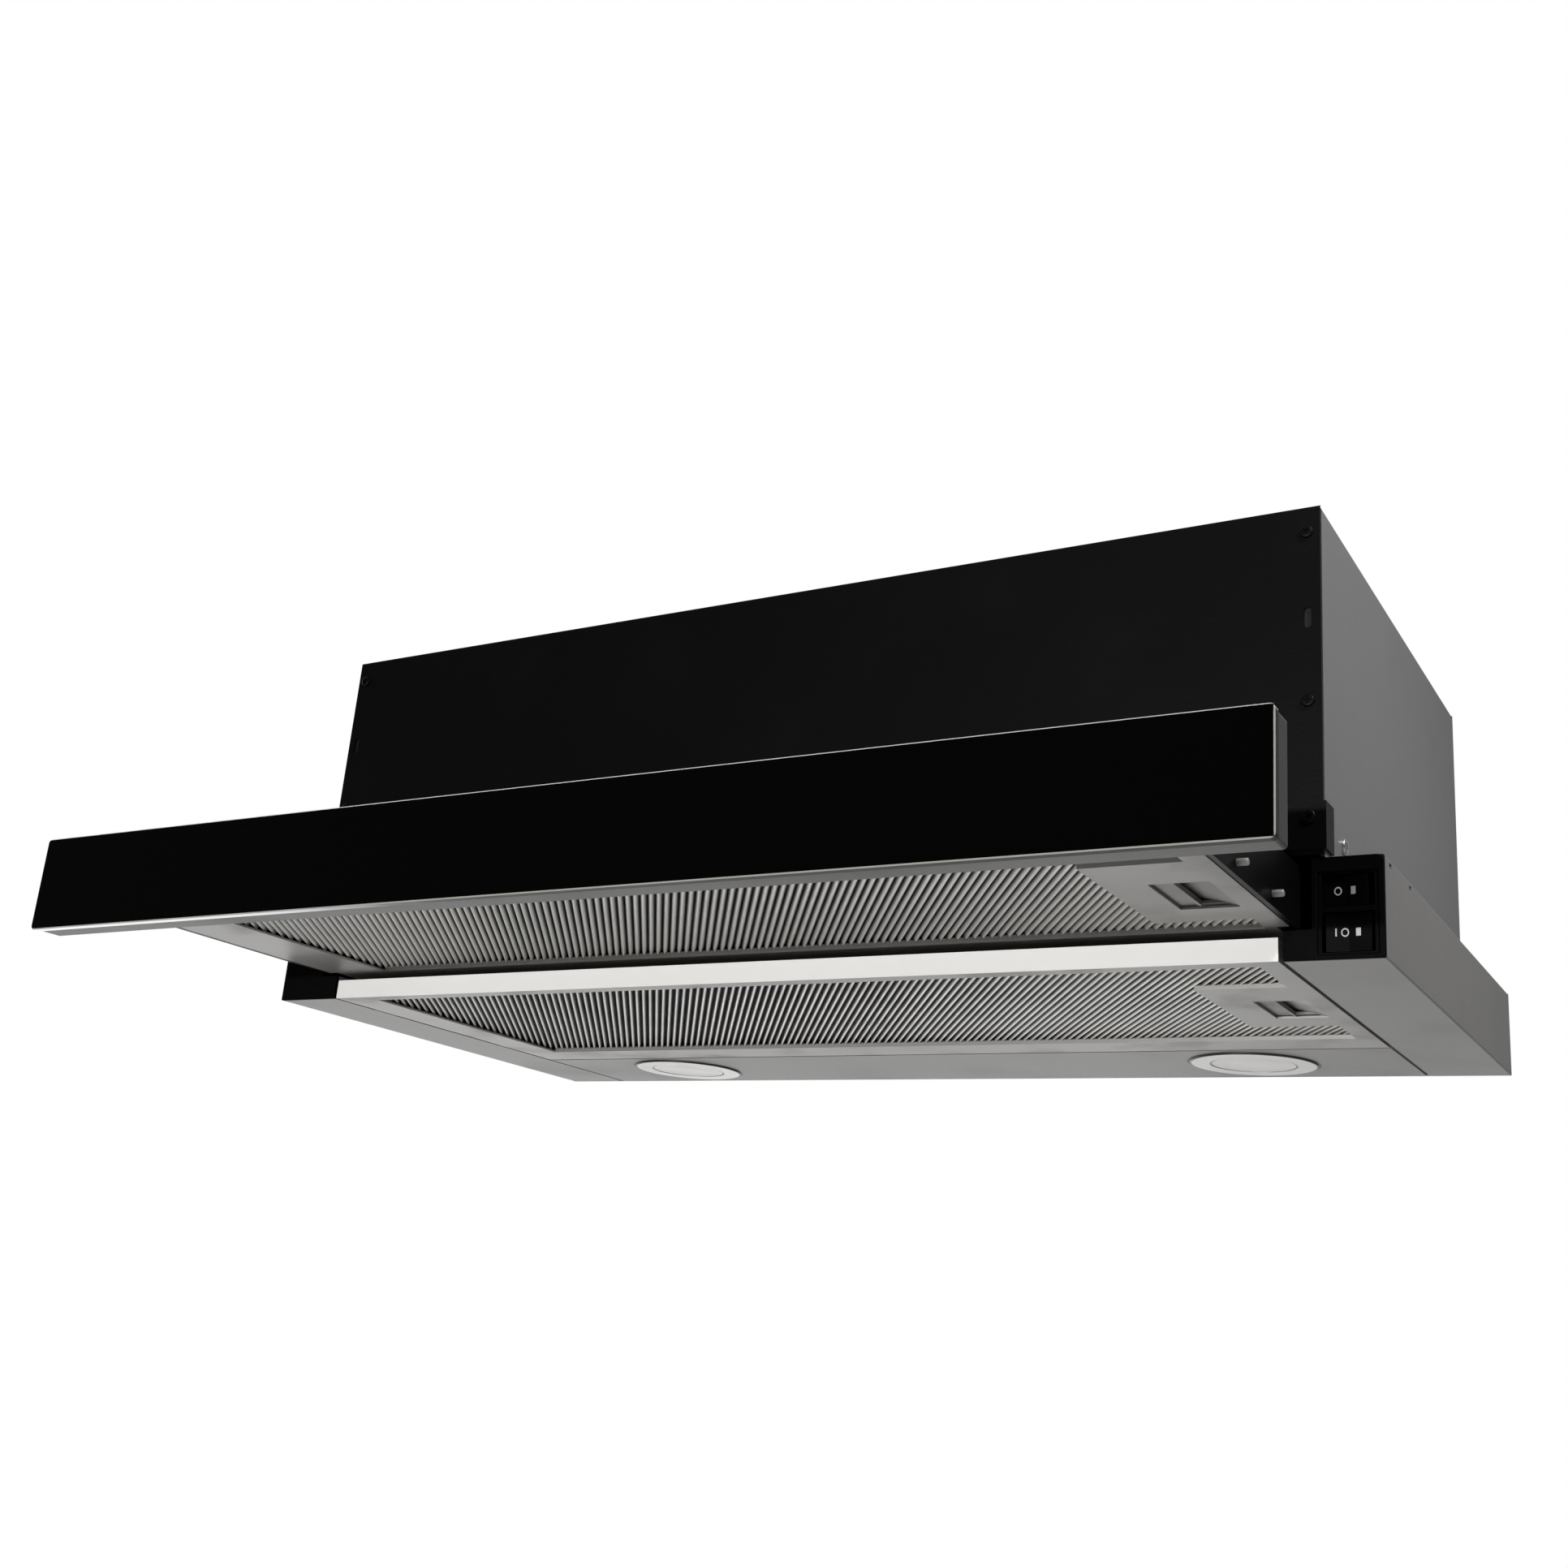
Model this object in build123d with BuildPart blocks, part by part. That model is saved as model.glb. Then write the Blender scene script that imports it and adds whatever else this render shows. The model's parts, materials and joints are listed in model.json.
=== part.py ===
from build123d import *
import os

# A telescopic under cabinet range hood, pulled out for cooking.
# Millimetres, +X to the right, +Y to the wall, +Z up. The origin is on the duct collar's axis,
# on the top face of the housing. "low" and "high" values are heights in that frame.

os.makedirs("parts", exist_ok=True)

# ---- Overall sizes ------------------------------------------------------------------------
housing_width = 547.4
housing_height = 196.0
base_width = 592.8
base_depth = 269.6
base_height = 41.7
collar_setback = 135.0
sheet = 1.2
front_width = 600.0
front_height = 45.1
front_lift = 1.4
glass_thickness = 4.0
frame_depth = 11.5
travel = 143.0
slide_gap = 0.5
panel_proud = 2.0
running_gap = 0.4
fit_gap = 0.1

# ---- Reference planes ---------------------------------------------------------------------
front = -collar_setback
rear = front + base_depth
bottom = -housing_height
base_top = bottom + base_height
housing_x = housing_width / 2
base_x = base_width / 2
panel_front = front - panel_proud
frame_rear = panel_front - slide_gap - travel
frame_front = frame_rear - frame_depth
glass_front = frame_front - glass_thickness

# ---- Base ---------------------------------------------------------------------------------
bay_x = 256.8
upstand_height = 12.4
ledge_x = housing_x - sheet
ledge_upstand = 18.3
cap_face = 1.2
cap_depth = 30.0
cap_block_x = 268.0
cap_corner = 3.0
foot_height = 12.6
lamp_strip_depth = 79.1
lamp_strip_x = bay_x - 1.8

# ---- Fixed and sliding filters ------------------------------------------------------------
filter_sheet = 1.0
filter_gap = 2.0
fixed_filter_depth = 188.5
fixed_filter_height = 9.7
slide_filter_low = 13.5
slide_filter_height = 6.5
slide_filter_tail = 24.0
runner_thickness = 2.0
runner_x = 262.6
mesh_thickness = 1.2
mesh_lift = 3.4
mesh_overlap = 3.5
window_front_margin = 8.5
window_rear_margin = 24.5
fixed_window_left_margin = 22.8
slide_window_left_margin = 37.8
window_right_margin = 9.8
latch_panel_width = 50.0
latch_panel_length = 84.0
fixed_latch_front = front + 48.0
slide_latch_front = front - 101.0
window_lip = 2.6
latch_travel = 6.0
latch_plate = 1.2
finger_length = 38.0
finger_width = 23.6
finger_inset = 9.0
pad_width = 9.4
pad_lip = 1.2
slider_reach = 40.0
slider_lift = 0.3
slider_margin = 5.0
ramp_slope = 0.22
ramp_length = 21.9
ramp_sheet = 0.7
ramp_notch = 6.5
spring_post = 1.0
spring_post_half = 4.0
bolt_lift = 3.0
bolt_root = 6.0
bolt_width = 16.0
bolt_height = 2.6
fixed_bolt_reach = 1.6
slide_bolt_reach = 0.3
spring_radius = 2.0
spring_wire = 0.5
hinge_tab_width = 18.0
hinge_tab_reach = 3.6
hinge_tab_thickness = 1.4
hinge_tab_inset = 40.0
hinge_bead_radius = 1.0
fixed_bead_inset = -0.6
slide_bead_inset = 10.4

# ---- Carriage and slide rails -------------------------------------------------------------
tray_high = 39.5
tray_sheet = 1.5
tray_overlap = 95.0
rail_member = 5.2
rail_height = 10.0
rail_low = 22.0
rail_sheet = 1.5
rail_engaged = 59.0
stud_radius = 1.4
stud_setbacks = [80.0, 35.0]
stud_height = 18.2
frame_screw_spacing = 140.0

# ---- Lamps, switches ----------------------------------------------------------------------
lamp_x = 177.0
lamp_setback = 41.6
lamp_y = rear - lamp_setback
lamp_radius = 32.5
lens_radius = 22.2
lens_seat = 2.0
lamp_body_height = 12.0
rocker_width = 19.6
rocker_tilt = 8.0
rocker_pin_radius = 1.2
switch_x_low = 270.3
switch_x_high = 294.0
switch_low = 2.0
switch_high = 35.5
switch_depth = 24.0
rocker_divider = 2.0
switch_rim = 0.8

# ---- Blower, collar, flaps ----------------------------------------------------------------
collar_radius = 59.6
collar_wall = 2.6
collar_height = 35.0
collar_flange_radius = 76.0
collar_flange = 2.5
collar_screw_circle = 136.0
duct_hole_radius = 57.5
flap_pin_height = 15.5
flap_pin_radius = 1.5
flap_thickness = 1.5
pin_clearance = 0.06
impeller_radius = 52.0
impeller_inner_radius = 40.0
impeller_width = 84.0
blade_count = 32
blade_thickness = 0.9
scroll_radius = 62.0
scroll_wall = 2.0
scroll_half_width = 52.0
neck_half_depth = 46.0
inlet_radius = 46.0
blower_axis_drop = 82.0
motor_radius = 32.0
motor_length = 54.0
shaft_radius = 4.0
cabinet_screw_x = 460.0
cabinet_screw_y = 200.0
cabinet_screw_radius = 2.75
gland_inset = 68.7
gland_x = housing_x - gland_inset
gland_radius = 8.0
gland_nut = 3.0
gland_rim_radius = 12.0
gland_y = 70.0
cable_radius = 3.6

blower_y = neck_half_depth - scroll_radius
blower_z = -blower_axis_drop


# ---- Helpers ------------------------------------------------------------------------------
def block(x_span, y_span, z_span, mode=Mode.ADD):
    """Add or cut a box between two values on each axis."""
    middle = [(low + high) / 2 for low, high in (x_span, y_span, z_span)]
    size = [high - low for low, high in (x_span, y_span, z_span)]
    with Locations(tuple(middle)):
        Box(*size, mode=mode)


def side_block(side, x_span, y_span, z_span, mode=Mode.ADD):
    """Add or cut a box on one side of the hood: side is 1 at the right and -1 at the left."""
    low, high = sorted((side * x_span[0], side * x_span[1]))
    block((low, high), y_span, z_span, mode)


def rod(start, direction, length, radius, mode=Mode.ADD):
    """Add or cut a cylinder that starts at a point and runs along a direction."""
    with Locations(Plane(origin=start, z_dir=direction)):
        Cylinder(radius, length, align=(Align.CENTER, Align.CENTER, Align.MIN), mode=mode)


def pan_head_screw(head_start, direction, head_radius, head_height, shank_radius, shank_length):
    """A pan head screw: the head stands out along direction and the shank runs the other way."""
    away = [-value for value in direction]
    rod(head_start, direction, head_height, head_radius)
    rod(head_start, away, shank_length, shank_radius)


def save(context, name):
    """Label a finished piece and write its STEP file."""
    context.part.label = name
    export_step(context.part, f"parts/{name}.step")


def side_name(side):
    """The word for a side."""
    return "right" if side > 0 else "left"


# ---- Housing ------------------------------------------------------------------------------
panel_low = base_top + 3.0
panel_back = panel_front + sheet
panel_tab = 20.0
panel_tab_depth = 12.0
panel_screw_x = housing_x - 5.6
panel_screw_heights = [-12.0, -88.0, -137.7]
panel_slot_height = -51.0
panel_slot_size = 9.0
panel_slot_width = 3.2
flange_reach = 14.0
return_x = ledge_x - flange_reach - fit_gap
shell_back = rear - sheet
side_screw_rows = [front + 28.8, rear - 28.8]
side_screw_height = base_top + 12.2
side_screw_radius = 1.9
small_screw_radius = 1.5
small_screw_head = 2.8
small_head_height = 1.4
screw_length = 6.0
side_screw_head = 3.4
side_head_height = 2.0

with BuildPart() as housing_shell:
    with BuildSketch(Plane.XZ.offset(-panel_back)):
        with Locations((0, base_top / 2)):
            Rectangle(housing_width, -base_top)
        with Locations((0, (base_top - sheet) / 2)):
            Rectangle(housing_width - 2 * sheet, -base_top - sheet, mode=Mode.SUBTRACT)
    extrude(amount=-(shell_back - panel_back))
    outer_bends = housing_shell.edges().filter_by(Axis.Y).group_by(Axis.Z)[-1]
    fillet(outer_bends, radius=sheet)
    for side in (-1, 1):
        flange_span = (ledge_x - flange_reach, ledge_x)
        side_block(side, flange_span, (panel_back, panel_back + sheet), (base_top + sheet, -sheet))
        side_block(side, flange_span, (shell_back - sheet, shell_back), (base_top + sheet, -sheet))
        for height in panel_screw_heights:
            rod((side * panel_screw_x, panel_back - 1, height), (0, 1, 0), 3, small_screw_radius + fit_gap,
                Mode.SUBTRACT)
            rod((side * panel_screw_x, shell_back + 1, height), (0, -1, 0), 3, small_screw_radius + fit_gap,
                Mode.SUBTRACT)
        for row in side_screw_rows:
            rod((side * (housing_x + 1), row, side_screw_height), (-side, 0, 0), 4,
                side_screw_radius + fit_gap, Mode.SUBTRACT)
    with BuildSketch(Plane.XY.offset(-sheet)):
        Circle(duct_hole_radius)
        with GridLocations(cabinet_screw_x, cabinet_screw_y, 2, 2):
            Circle(cabinet_screw_radius)
        with PolarLocations(collar_screw_circle / 2, 4, 45):
            Circle(small_screw_radius + fit_gap)
        with Locations((gland_x, gland_y)):
            Circle(gland_radius + fit_gap)
    extrude(amount=sheet, mode=Mode.SUBTRACT)
save(housing_shell, "housing_shell")

with BuildPart() as housing_back_panel:
    block((-housing_x, housing_x), (shell_back, rear), (base_top, 0))
    for side in (-1, 1):
        for height in panel_screw_heights:
            rod((side * panel_screw_x, rear + 1, height), (0, -1, 0), 4, small_screw_radius + fit_gap,
                Mode.SUBTRACT)
save(housing_back_panel, "housing_back_panel")

with BuildPart() as housing_front_panel:
    block((-housing_x, housing_x), (panel_front, panel_back), (panel_low, 0))
    block((-return_x, return_x), (panel_back, panel_back + flange_reach), (panel_low, panel_low + sheet))
    fillet(housing_front_panel.edges().filter_by(Axis.X).group_by(Axis.Y)[0].group_by(Axis.Z)[-1],
           radius=sheet * 0.9)
    for side in (-1, 1):
        side_block(side, (housing_x, housing_x + sheet), (panel_front, panel_front + panel_tab_depth),
                   (panel_low, panel_low + panel_tab))
        for height in panel_screw_heights:
            rod((side * panel_screw_x, panel_front - 1, height), (0, 1, 0), 3,
                small_screw_radius + fit_gap, Mode.SUBTRACT)
        with BuildSketch(Plane.XZ.offset(-panel_back)):
            with Locations((side * panel_screw_x, panel_slot_height)):
                SlotOverall(panel_slot_size, panel_slot_width, rotation=90)
        extrude(amount=sheet, mode=Mode.SUBTRACT)
save(housing_front_panel, "housing_front_panel")

with BuildPart() as panel_screws:
    for side in (-1, 1):
        for height in panel_screw_heights:
            pan_head_screw((side * panel_screw_x, panel_front, height), (0, -1, 0),
                           small_screw_head, small_head_height, small_screw_radius, screw_length)
            pan_head_screw((side * panel_screw_x, rear, height), (0, 1, 0),
                           small_screw_head, small_head_height, small_screw_radius, screw_length)
save(panel_screws, "panel_screws")

with BuildPart() as side_screws:
    for side in (-1, 1):
        for row in side_screw_rows:
            pan_head_screw((side * housing_x, row, side_screw_height), (side, 0, 0),
                           side_screw_head, side_head_height, side_screw_radius, screw_length)
save(side_screws, "side_screws")

# ---- Base ---------------------------------------------------------------------------------
channel_front = front + cap_face
channel_back = rear - sheet
notch_rows = [front + 11.0, front + 46.0]
notch_half = 2.0
notch_z = (base_top - 3.2, base_top - 1.4)
rail_front = front + cap_depth + 4.0
rail_back = rear - 20.0
rear_lip = 12.0
bolt_slot_z = (bottom + 2.0, bottom + 8.0)
slot_margin = 1.0
fixed_filter_half = bay_x - filter_gap
fixed_tab_low = bottom + 1.6
hinge_rows = [front + hinge_tab_inset, front + fixed_filter_depth - hinge_tab_inset]
latch_middle = latch_panel_length / 2 + 4.0


def side_channel(side):
    """The folded side member of the base, from its inner upstand round to the housing."""
    with BuildPart() as channel:
        with BuildSketch(Plane.XZ.offset(-channel_front)):
            for x_span, z_span in (
                ((bay_x, base_x), (bottom, bottom + sheet)),
                ((bay_x, bay_x + sheet), (bottom, bottom + upstand_height)),
                ((base_x - sheet, base_x), (bottom, base_top)),
                ((ledge_x - sheet, base_x), (base_top - sheet, base_top)),
                ((ledge_x - sheet, ledge_x), (base_top - sheet, base_top + ledge_upstand)),
            ):
                with Locations((side * sum(x_span) / 2, sum(z_span) / 2)):
                    Rectangle(x_span[1] - x_span[0], z_span[1] - z_span[0])
        extrude(amount=-(channel_back - channel_front))
        outer_edges = channel.edges().filter_by(Axis.Y).filter_by(
            lambda edge: abs(abs(edge.center().X) - base_x) < 0.01)
        fillet(outer_edges, radius=sheet * 0.7)
        for row in side_screw_rows:
            rod((side * (ledge_x + 1), row, side_screw_height), (-side, 0, 0), 4,
                side_screw_radius + fit_gap, Mode.SUBTRACT)
        side_block(side, (ledge_x - sheet - 1, ledge_x + 1), (channel_back - sheet - fit_gap, rear),
                   (base_top, base_top + ledge_upstand + 1), Mode.SUBTRACT)
        for row in notch_rows:
            side_block(side, (base_x - sheet - 1, base_x + 1), (row - notch_half, row + notch_half), notch_z,
                       Mode.SUBTRACT)
        if side < 0:
            for row in hinge_rows:
                side_block(side, (bay_x - 1, bay_x + sheet + 0.5),
                           (row - hinge_tab_width / 2 - slot_margin, row + hinge_tab_width / 2 + slot_margin),
                           (bottom + sheet, bottom + upstand_height + 1), Mode.SUBTRACT)
        else:
            bolt_y = fixed_latch_front + latch_middle
            side_block(side, (bay_x - 1, bay_x + sheet + 0.5),
                       (bolt_y - bolt_width / 2 - slot_margin, bolt_y + bolt_width / 2 + slot_margin),
                       bolt_slot_z, Mode.SUBTRACT)
    save(channel, f"side_channel_{side_name(side)}")


for side in (-1, 1):
    side_channel(side)

with BuildPart() as base_rear_rail:
    block((-base_x, base_x), (channel_back, rear), (bottom, base_top))
    block((-base_x + sheet, base_x - sheet), (channel_back - rear_lip, channel_back),
          (base_top - 2 * sheet - fit_gap, base_top - sheet - fit_gap))
    fillet(base_rear_rail.edges().filter_by(Axis.Z).filter_by(
        lambda edge: abs(abs(edge.center().X) - base_x) < 0.01).group_by(Axis.Y)[-1], radius=sheet * 0.7)
save(base_rear_rail, "base_rear_rail")

# ---- End caps and the switch block --------------------------------------------------------
plug_wall = 2.0
plug_x_high = base_x - sheet - fit_gap


def end_cap(side, switch_opening):
    """The moulded cap that closes the front end of a side member; the right one holds the switches."""
    with BuildPart() as cap:
        with BuildSketch(Plane.XZ.offset(-front)):
            with Locations((side * (cap_block_x + base_x) / 2, bottom + base_height / 2)):
                Rectangle(base_x - cap_block_x, base_height)
            with Locations((side * (bay_x + cap_block_x) / 2, bottom + foot_height / 2)):
                Rectangle(cap_block_x - bay_x, foot_height)
        extrude(amount=-cap_face)
        top_corner = cap.edges().filter_by(Axis.Y).filter_by(
            lambda edge: abs(abs(edge.center().X) - base_x) < 0.01).group_by(Axis.Z)[-1]
        fillet(top_corner, radius=cap_corner)
        side_block(side, (cap_block_x, plug_x_high), (front + cap_face, front + cap_depth),
                   (bottom + sheet + fit_gap, base_top - sheet - fit_gap))
        if switch_opening:
            block((switch_x_low, switch_x_high), (front - 1, front + cap_depth + 1),
                  (bottom + switch_low, bottom + switch_high), Mode.SUBTRACT)
        else:
            side_block(side, (cap_block_x + plug_wall, plug_x_high - plug_wall),
                       (front + cap_face + plug_wall, front + cap_depth + 1),
                       (bottom + sheet + plug_wall, base_top - sheet - plug_wall), Mode.SUBTRACT)
    save(cap, f"end_cap_{side_name(side)}")


end_cap(-1, False)
end_cap(1, True)

switch_wall = 1.2
switch_face = front + 0.6
rocker_x = (switch_x_low + switch_x_high) / 2
switch_middle = bottom + 20.2
rocker_gap = 0.45
rocker_pin_y = front + 9.0
rocker_crown = 6.6
rocker_edge = 7.6
rocker_side_gap = 0.9
rocker_waist = (2.2, 1.5)
rocker_foot = (3.2, 6.0)
switch_margin = fit_gap + switch_rim + rocker_gap
light_rocker_z = (switch_middle + rocker_divider / 2 + rocker_gap, bottom + switch_high - switch_margin)
fan_rocker_z = (bottom + switch_low + switch_margin, switch_middle - rocker_divider / 2 - rocker_gap)

with BuildPart() as switch_block:
    block((switch_x_low + fit_gap, switch_x_high - fit_gap), (switch_face, front + switch_depth),
          (bottom + switch_low + fit_gap, bottom + switch_high - fit_gap))
    pocket_x = (rocker_x - rocker_width / 2 - rocker_gap, rocker_x + rocker_width / 2 + rocker_gap)
    for z_span in (light_rocker_z, fan_rocker_z):
        pocket_z = (z_span[0] - rocker_gap, z_span[1] + rocker_gap)
        block(pocket_x, (switch_face - 1, front + switch_depth - switch_wall), pocket_z, Mode.SUBTRACT)
    for z_span in (light_rocker_z, fan_rocker_z):
        rod((rocker_x, rocker_pin_y, z_span[0] - rocker_gap), (0, 0, 1),
            z_span[1] - z_span[0] + 2 * rocker_gap, rocker_pin_radius)
save(switch_block, "switch_block")


def rocker(name, z_span, tilt):
    """A rocker button that turns about an upright pin, pressed over by tilt degrees at rest."""
    half = rocker_width / 2
    waist_x = half - rocker_waist[0]
    with BuildPart() as button:
        with BuildSketch(Plane.XY.offset(z_span[0])):
            with BuildLine():
                Polyline((rocker_side_gap - half, -rocker_edge), (0, -rocker_crown),
                         (half - rocker_side_gap, -rocker_edge), (waist_x, rocker_waist[1]), rocker_foot,
                         (-rocker_foot[0], rocker_foot[1]), (-waist_x, rocker_waist[1]), close=True)
            make_face()
            Circle(rocker_pin_radius + pin_clearance, mode=Mode.SUBTRACT)
        extrude(amount=z_span[1] - z_span[0])
    placed = Pos(rocker_x, rocker_pin_y, 0) * Rot(0, 0, tilt) * button.part
    placed.label = name
    export_step(placed, f"parts/{name}.step")


rocker("light_rocker", light_rocker_z, -rocker_tilt)
rocker("fan_rocker", fan_rocker_z, 0.0)

# ---- Lamp strip and lamps -----------------------------------------------------------------
strip_front = rear - lamp_strip_depth
strip_flange = 11.0
strip_tab = 8.0
bezel_rim = 0.9
bezel_seat = 2.0
bezel_lip = 2.5
lens_rim = 0.7
lens_sheet = 1.6
board_height = 6.0
board_sheet = 1.6
led_circle = 12.0
led_count = 6
led_size = 3.0

with BuildPart() as lamp_strip:
    block((-lamp_strip_x, lamp_strip_x), (strip_front, channel_back), (bottom, bottom + sheet))
    block((-lamp_strip_x, lamp_strip_x), (strip_front, strip_front + sheet), (bottom, bottom + strip_flange))
    block((-lamp_strip_x, lamp_strip_x), (channel_back - sheet, channel_back),
          (bottom, bottom + strip_flange))
    for side in (-1, 1):
        rod((side * lamp_x, lamp_y, bottom - 1), (0, 0, 1), sheet + 2, lamp_radius - bezel_seat, Mode.SUBTRACT)
        side_block(side, (lamp_strip_x, bay_x), (strip_front, channel_back),
                   (bottom + sheet, bottom + 2 * sheet))
        side_block(side, (lamp_strip_x - strip_tab, lamp_strip_x), (strip_front + sheet, channel_back - sheet),
                   (bottom + sheet, bottom + 2 * sheet))
save(lamp_strip, "lamp_strip")

for side in (-1, 1):
    with BuildPart() as lamp_bezel:
        rod((side * lamp_x, lamp_y, bottom - bezel_rim), (0, 0, 1), bezel_rim, lamp_radius)
        rod((side * lamp_x, lamp_y, bottom), (0, 0, 1), lamp_body_height, lamp_radius - bezel_seat - 3 * fit_gap)
        rod((side * lamp_x, lamp_y, bottom - 1), (0, 0, 1), lamp_body_height + 2, lens_radius + lens_seat,
            Mode.SUBTRACT)
        with BuildSketch(Plane.XY.offset(bottom - bezel_rim)):
            with Locations((side * lamp_x, lamp_y)):
                Circle(lens_radius + bezel_lip)
                Circle(lens_radius + fit_gap, mode=Mode.SUBTRACT)
        extrude(amount=bezel_rim)
        fillet(lamp_bezel.edges().filter_by(GeomType.CIRCLE).group_by(Axis.Z)[0].sort_by(SortBy.LENGTH)[-1],
               radius=bezel_rim * 2 / 3)
    save(lamp_bezel, f"lamp_bezel_{side_name(side)}")

    with BuildPart() as lamp_lens:
        rod((side * lamp_x, lamp_y, bottom - lens_rim), (0, 0, 1), lens_rim, lens_radius)
        rod((side * lamp_x, lamp_y, bottom), (0, 0, 1), lens_sheet, lens_radius + lens_seat)
    save(lamp_lens, f"lamp_lens_{side_name(side)}")

    with BuildPart() as led_board:
        rod((side * lamp_x, lamp_y, bottom + board_height), (0, 0, 1), board_sheet, lens_radius + lens_seat)
        with BuildSketch(Plane.XY.offset(bottom + board_height - 1)):
            with Locations((side * lamp_x, lamp_y)):
                with PolarLocations(led_circle, led_count):
                    Rectangle(led_size, led_size)
        extrude(amount=1)
    save(led_board, f"led_board_{side_name(side)}")

# ---- Slide-out front ----------------------------------------------------------------------
front_low = bottom + front_lift
front_high = front_low + front_height
glass_corner = 2.0
frame_inset = 0.5
frame_x = front_width / 2 - frame_inset
tray_top = bottom + tray_high
tray_flange_drop = 9.0
tray_lip = 5.0
frame_screw_z = tray_top - tray_lip
frame_head_height = 1.6
arris = 0.5
frame_screw_places = [(index - 1.5) * frame_screw_spacing for index in range(4)]

with BuildPart() as front_glass:
    with BuildSketch(Plane.XZ.offset(-glass_front)):
        with Locations((0, (front_low + front_high) / 2)):
            RectangleRounded(front_width, front_height, glass_corner)
    extrude(amount=-glass_thickness)
    chamfer(front_glass.faces().sort_by(Axis.Y)[0].edges(), length=arris)
save(front_glass, "front_glass")

with BuildPart() as front_frame:
    block((-frame_x, frame_x), (frame_front, frame_rear), (front_low + frame_inset, front_high - frame_inset))
    fillet(front_frame.edges().filter_by(Axis.Y), radius=glass_corner - frame_inset)
    block((-frame_x + sheet, frame_x - sheet), (frame_front + sheet, frame_rear + 1),
          (front_low + frame_inset + sheet, front_high - frame_inset - sheet), Mode.SUBTRACT)
    for place in frame_screw_places:
        rod((place, frame_front - 1, frame_screw_z), (0, 1, 0), sheet + 2, small_screw_radius + fit_gap,
            Mode.SUBTRACT)
save(front_frame, "front_frame")

# ---- Carriage -----------------------------------------------------------------------------
runner_inner_x = runner_x - runner_thickness
runner_low = bottom + slide_filter_low
tray_front = frame_front + sheet
tray_back = front + tray_overlap
stud_length = cap_block_x - runner_x - 2 * running_gap

with BuildPart() as carriage_tray:
    block((-runner_inner_x, runner_inner_x), (tray_front, tray_back), (tray_top - tray_sheet, tray_top))
    block((-runner_inner_x, runner_inner_x), (tray_front, tray_front + tray_sheet),
          (tray_top - tray_flange_drop, tray_top))
    block((-runner_inner_x, runner_inner_x), (frame_rear - 2 * tray_sheet, frame_rear - tray_sheet),
          (bottom + slide_filter_low, tray_top))
    block((-runner_inner_x, runner_inner_x), (tray_back - tray_sheet, tray_back),
          (tray_top - tray_lip, tray_top))
    for place in frame_screw_places:
        rod((place, tray_front - 1, frame_screw_z), (0, 1, 0), tray_sheet + 2,
            small_screw_radius + fit_gap, Mode.SUBTRACT)
save(carriage_tray, "carriage_tray")

with BuildPart() as frame_screws:
    for place in frame_screw_places:
        pan_head_screw((place, tray_front + tray_sheet, frame_screw_z), (0, 1, 0),
                       small_screw_head, frame_head_height, small_screw_radius, tray_sheet + sheet)
save(frame_screws, "frame_screws")

with BuildPart() as slide_studs:
    for side in (-1, 1):
        for setback in stud_setbacks:
            rod((side * runner_x, front - setback, bottom + stud_height), (side, 0, 0), stud_length, stud_radius)
save(slide_studs, "slide_studs")

rail_rear_out = front + tray_overlap
rail_front_out = rail_rear_out - rail_engaged
rail_z = (bottom + rail_low, bottom + rail_low + rail_height)
channel_x = runner_x + rail_member + running_gap
rail_groove = 1.0
rail_lip_gap = 1.6
rail_flange = 14.0

for side in (-1, 1):
    with BuildPart() as runner:
        side_block(side, (runner_inner_x, runner_x), (tray_front, tray_back), (runner_low, tray_top))
    save(runner, f"carriage_side_{side_name(side)}")

    with BuildPart() as inner_rail:
        side_block(side, (runner_x, runner_x + rail_member), (rail_front_out, rail_rear_out), rail_z)
        for z in rail_z:
            rod((side * (runner_x + rail_member / 2), rail_front_out, z), (0, 1, 0), rail_engaged,
                rail_groove, Mode.SUBTRACT)
    save(inner_rail, f"rail_inner_{side_name(side)}")

    with BuildPart() as outer_rail:
        low_web = rail_z[0] - running_gap - rail_sheet
        high_web = rail_z[1] + running_gap + rail_sheet
        web = (channel_x, channel_x + rail_sheet)
        rail_span = (rail_front, rail_back)
        lip_x = runner_x + rail_lip_gap
        side_block(side, web, rail_span, (low_web, base_top - sheet))
        side_block(side, (lip_x, web[1]), rail_span, (low_web, low_web + rail_sheet))
        side_block(side, (lip_x, web[1]), rail_span, (high_web - rail_sheet, high_web))
        side_block(side, (web[0], web[1] + rail_flange), rail_span, (base_top - sheet - rail_sheet, base_top - sheet))
        side_block(side, (lip_x, web[1]), (rail_front, rail_front + rail_sheet), (low_web, high_web))
    save(outer_rail, f"rail_outer_{side_name(side)}")


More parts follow.
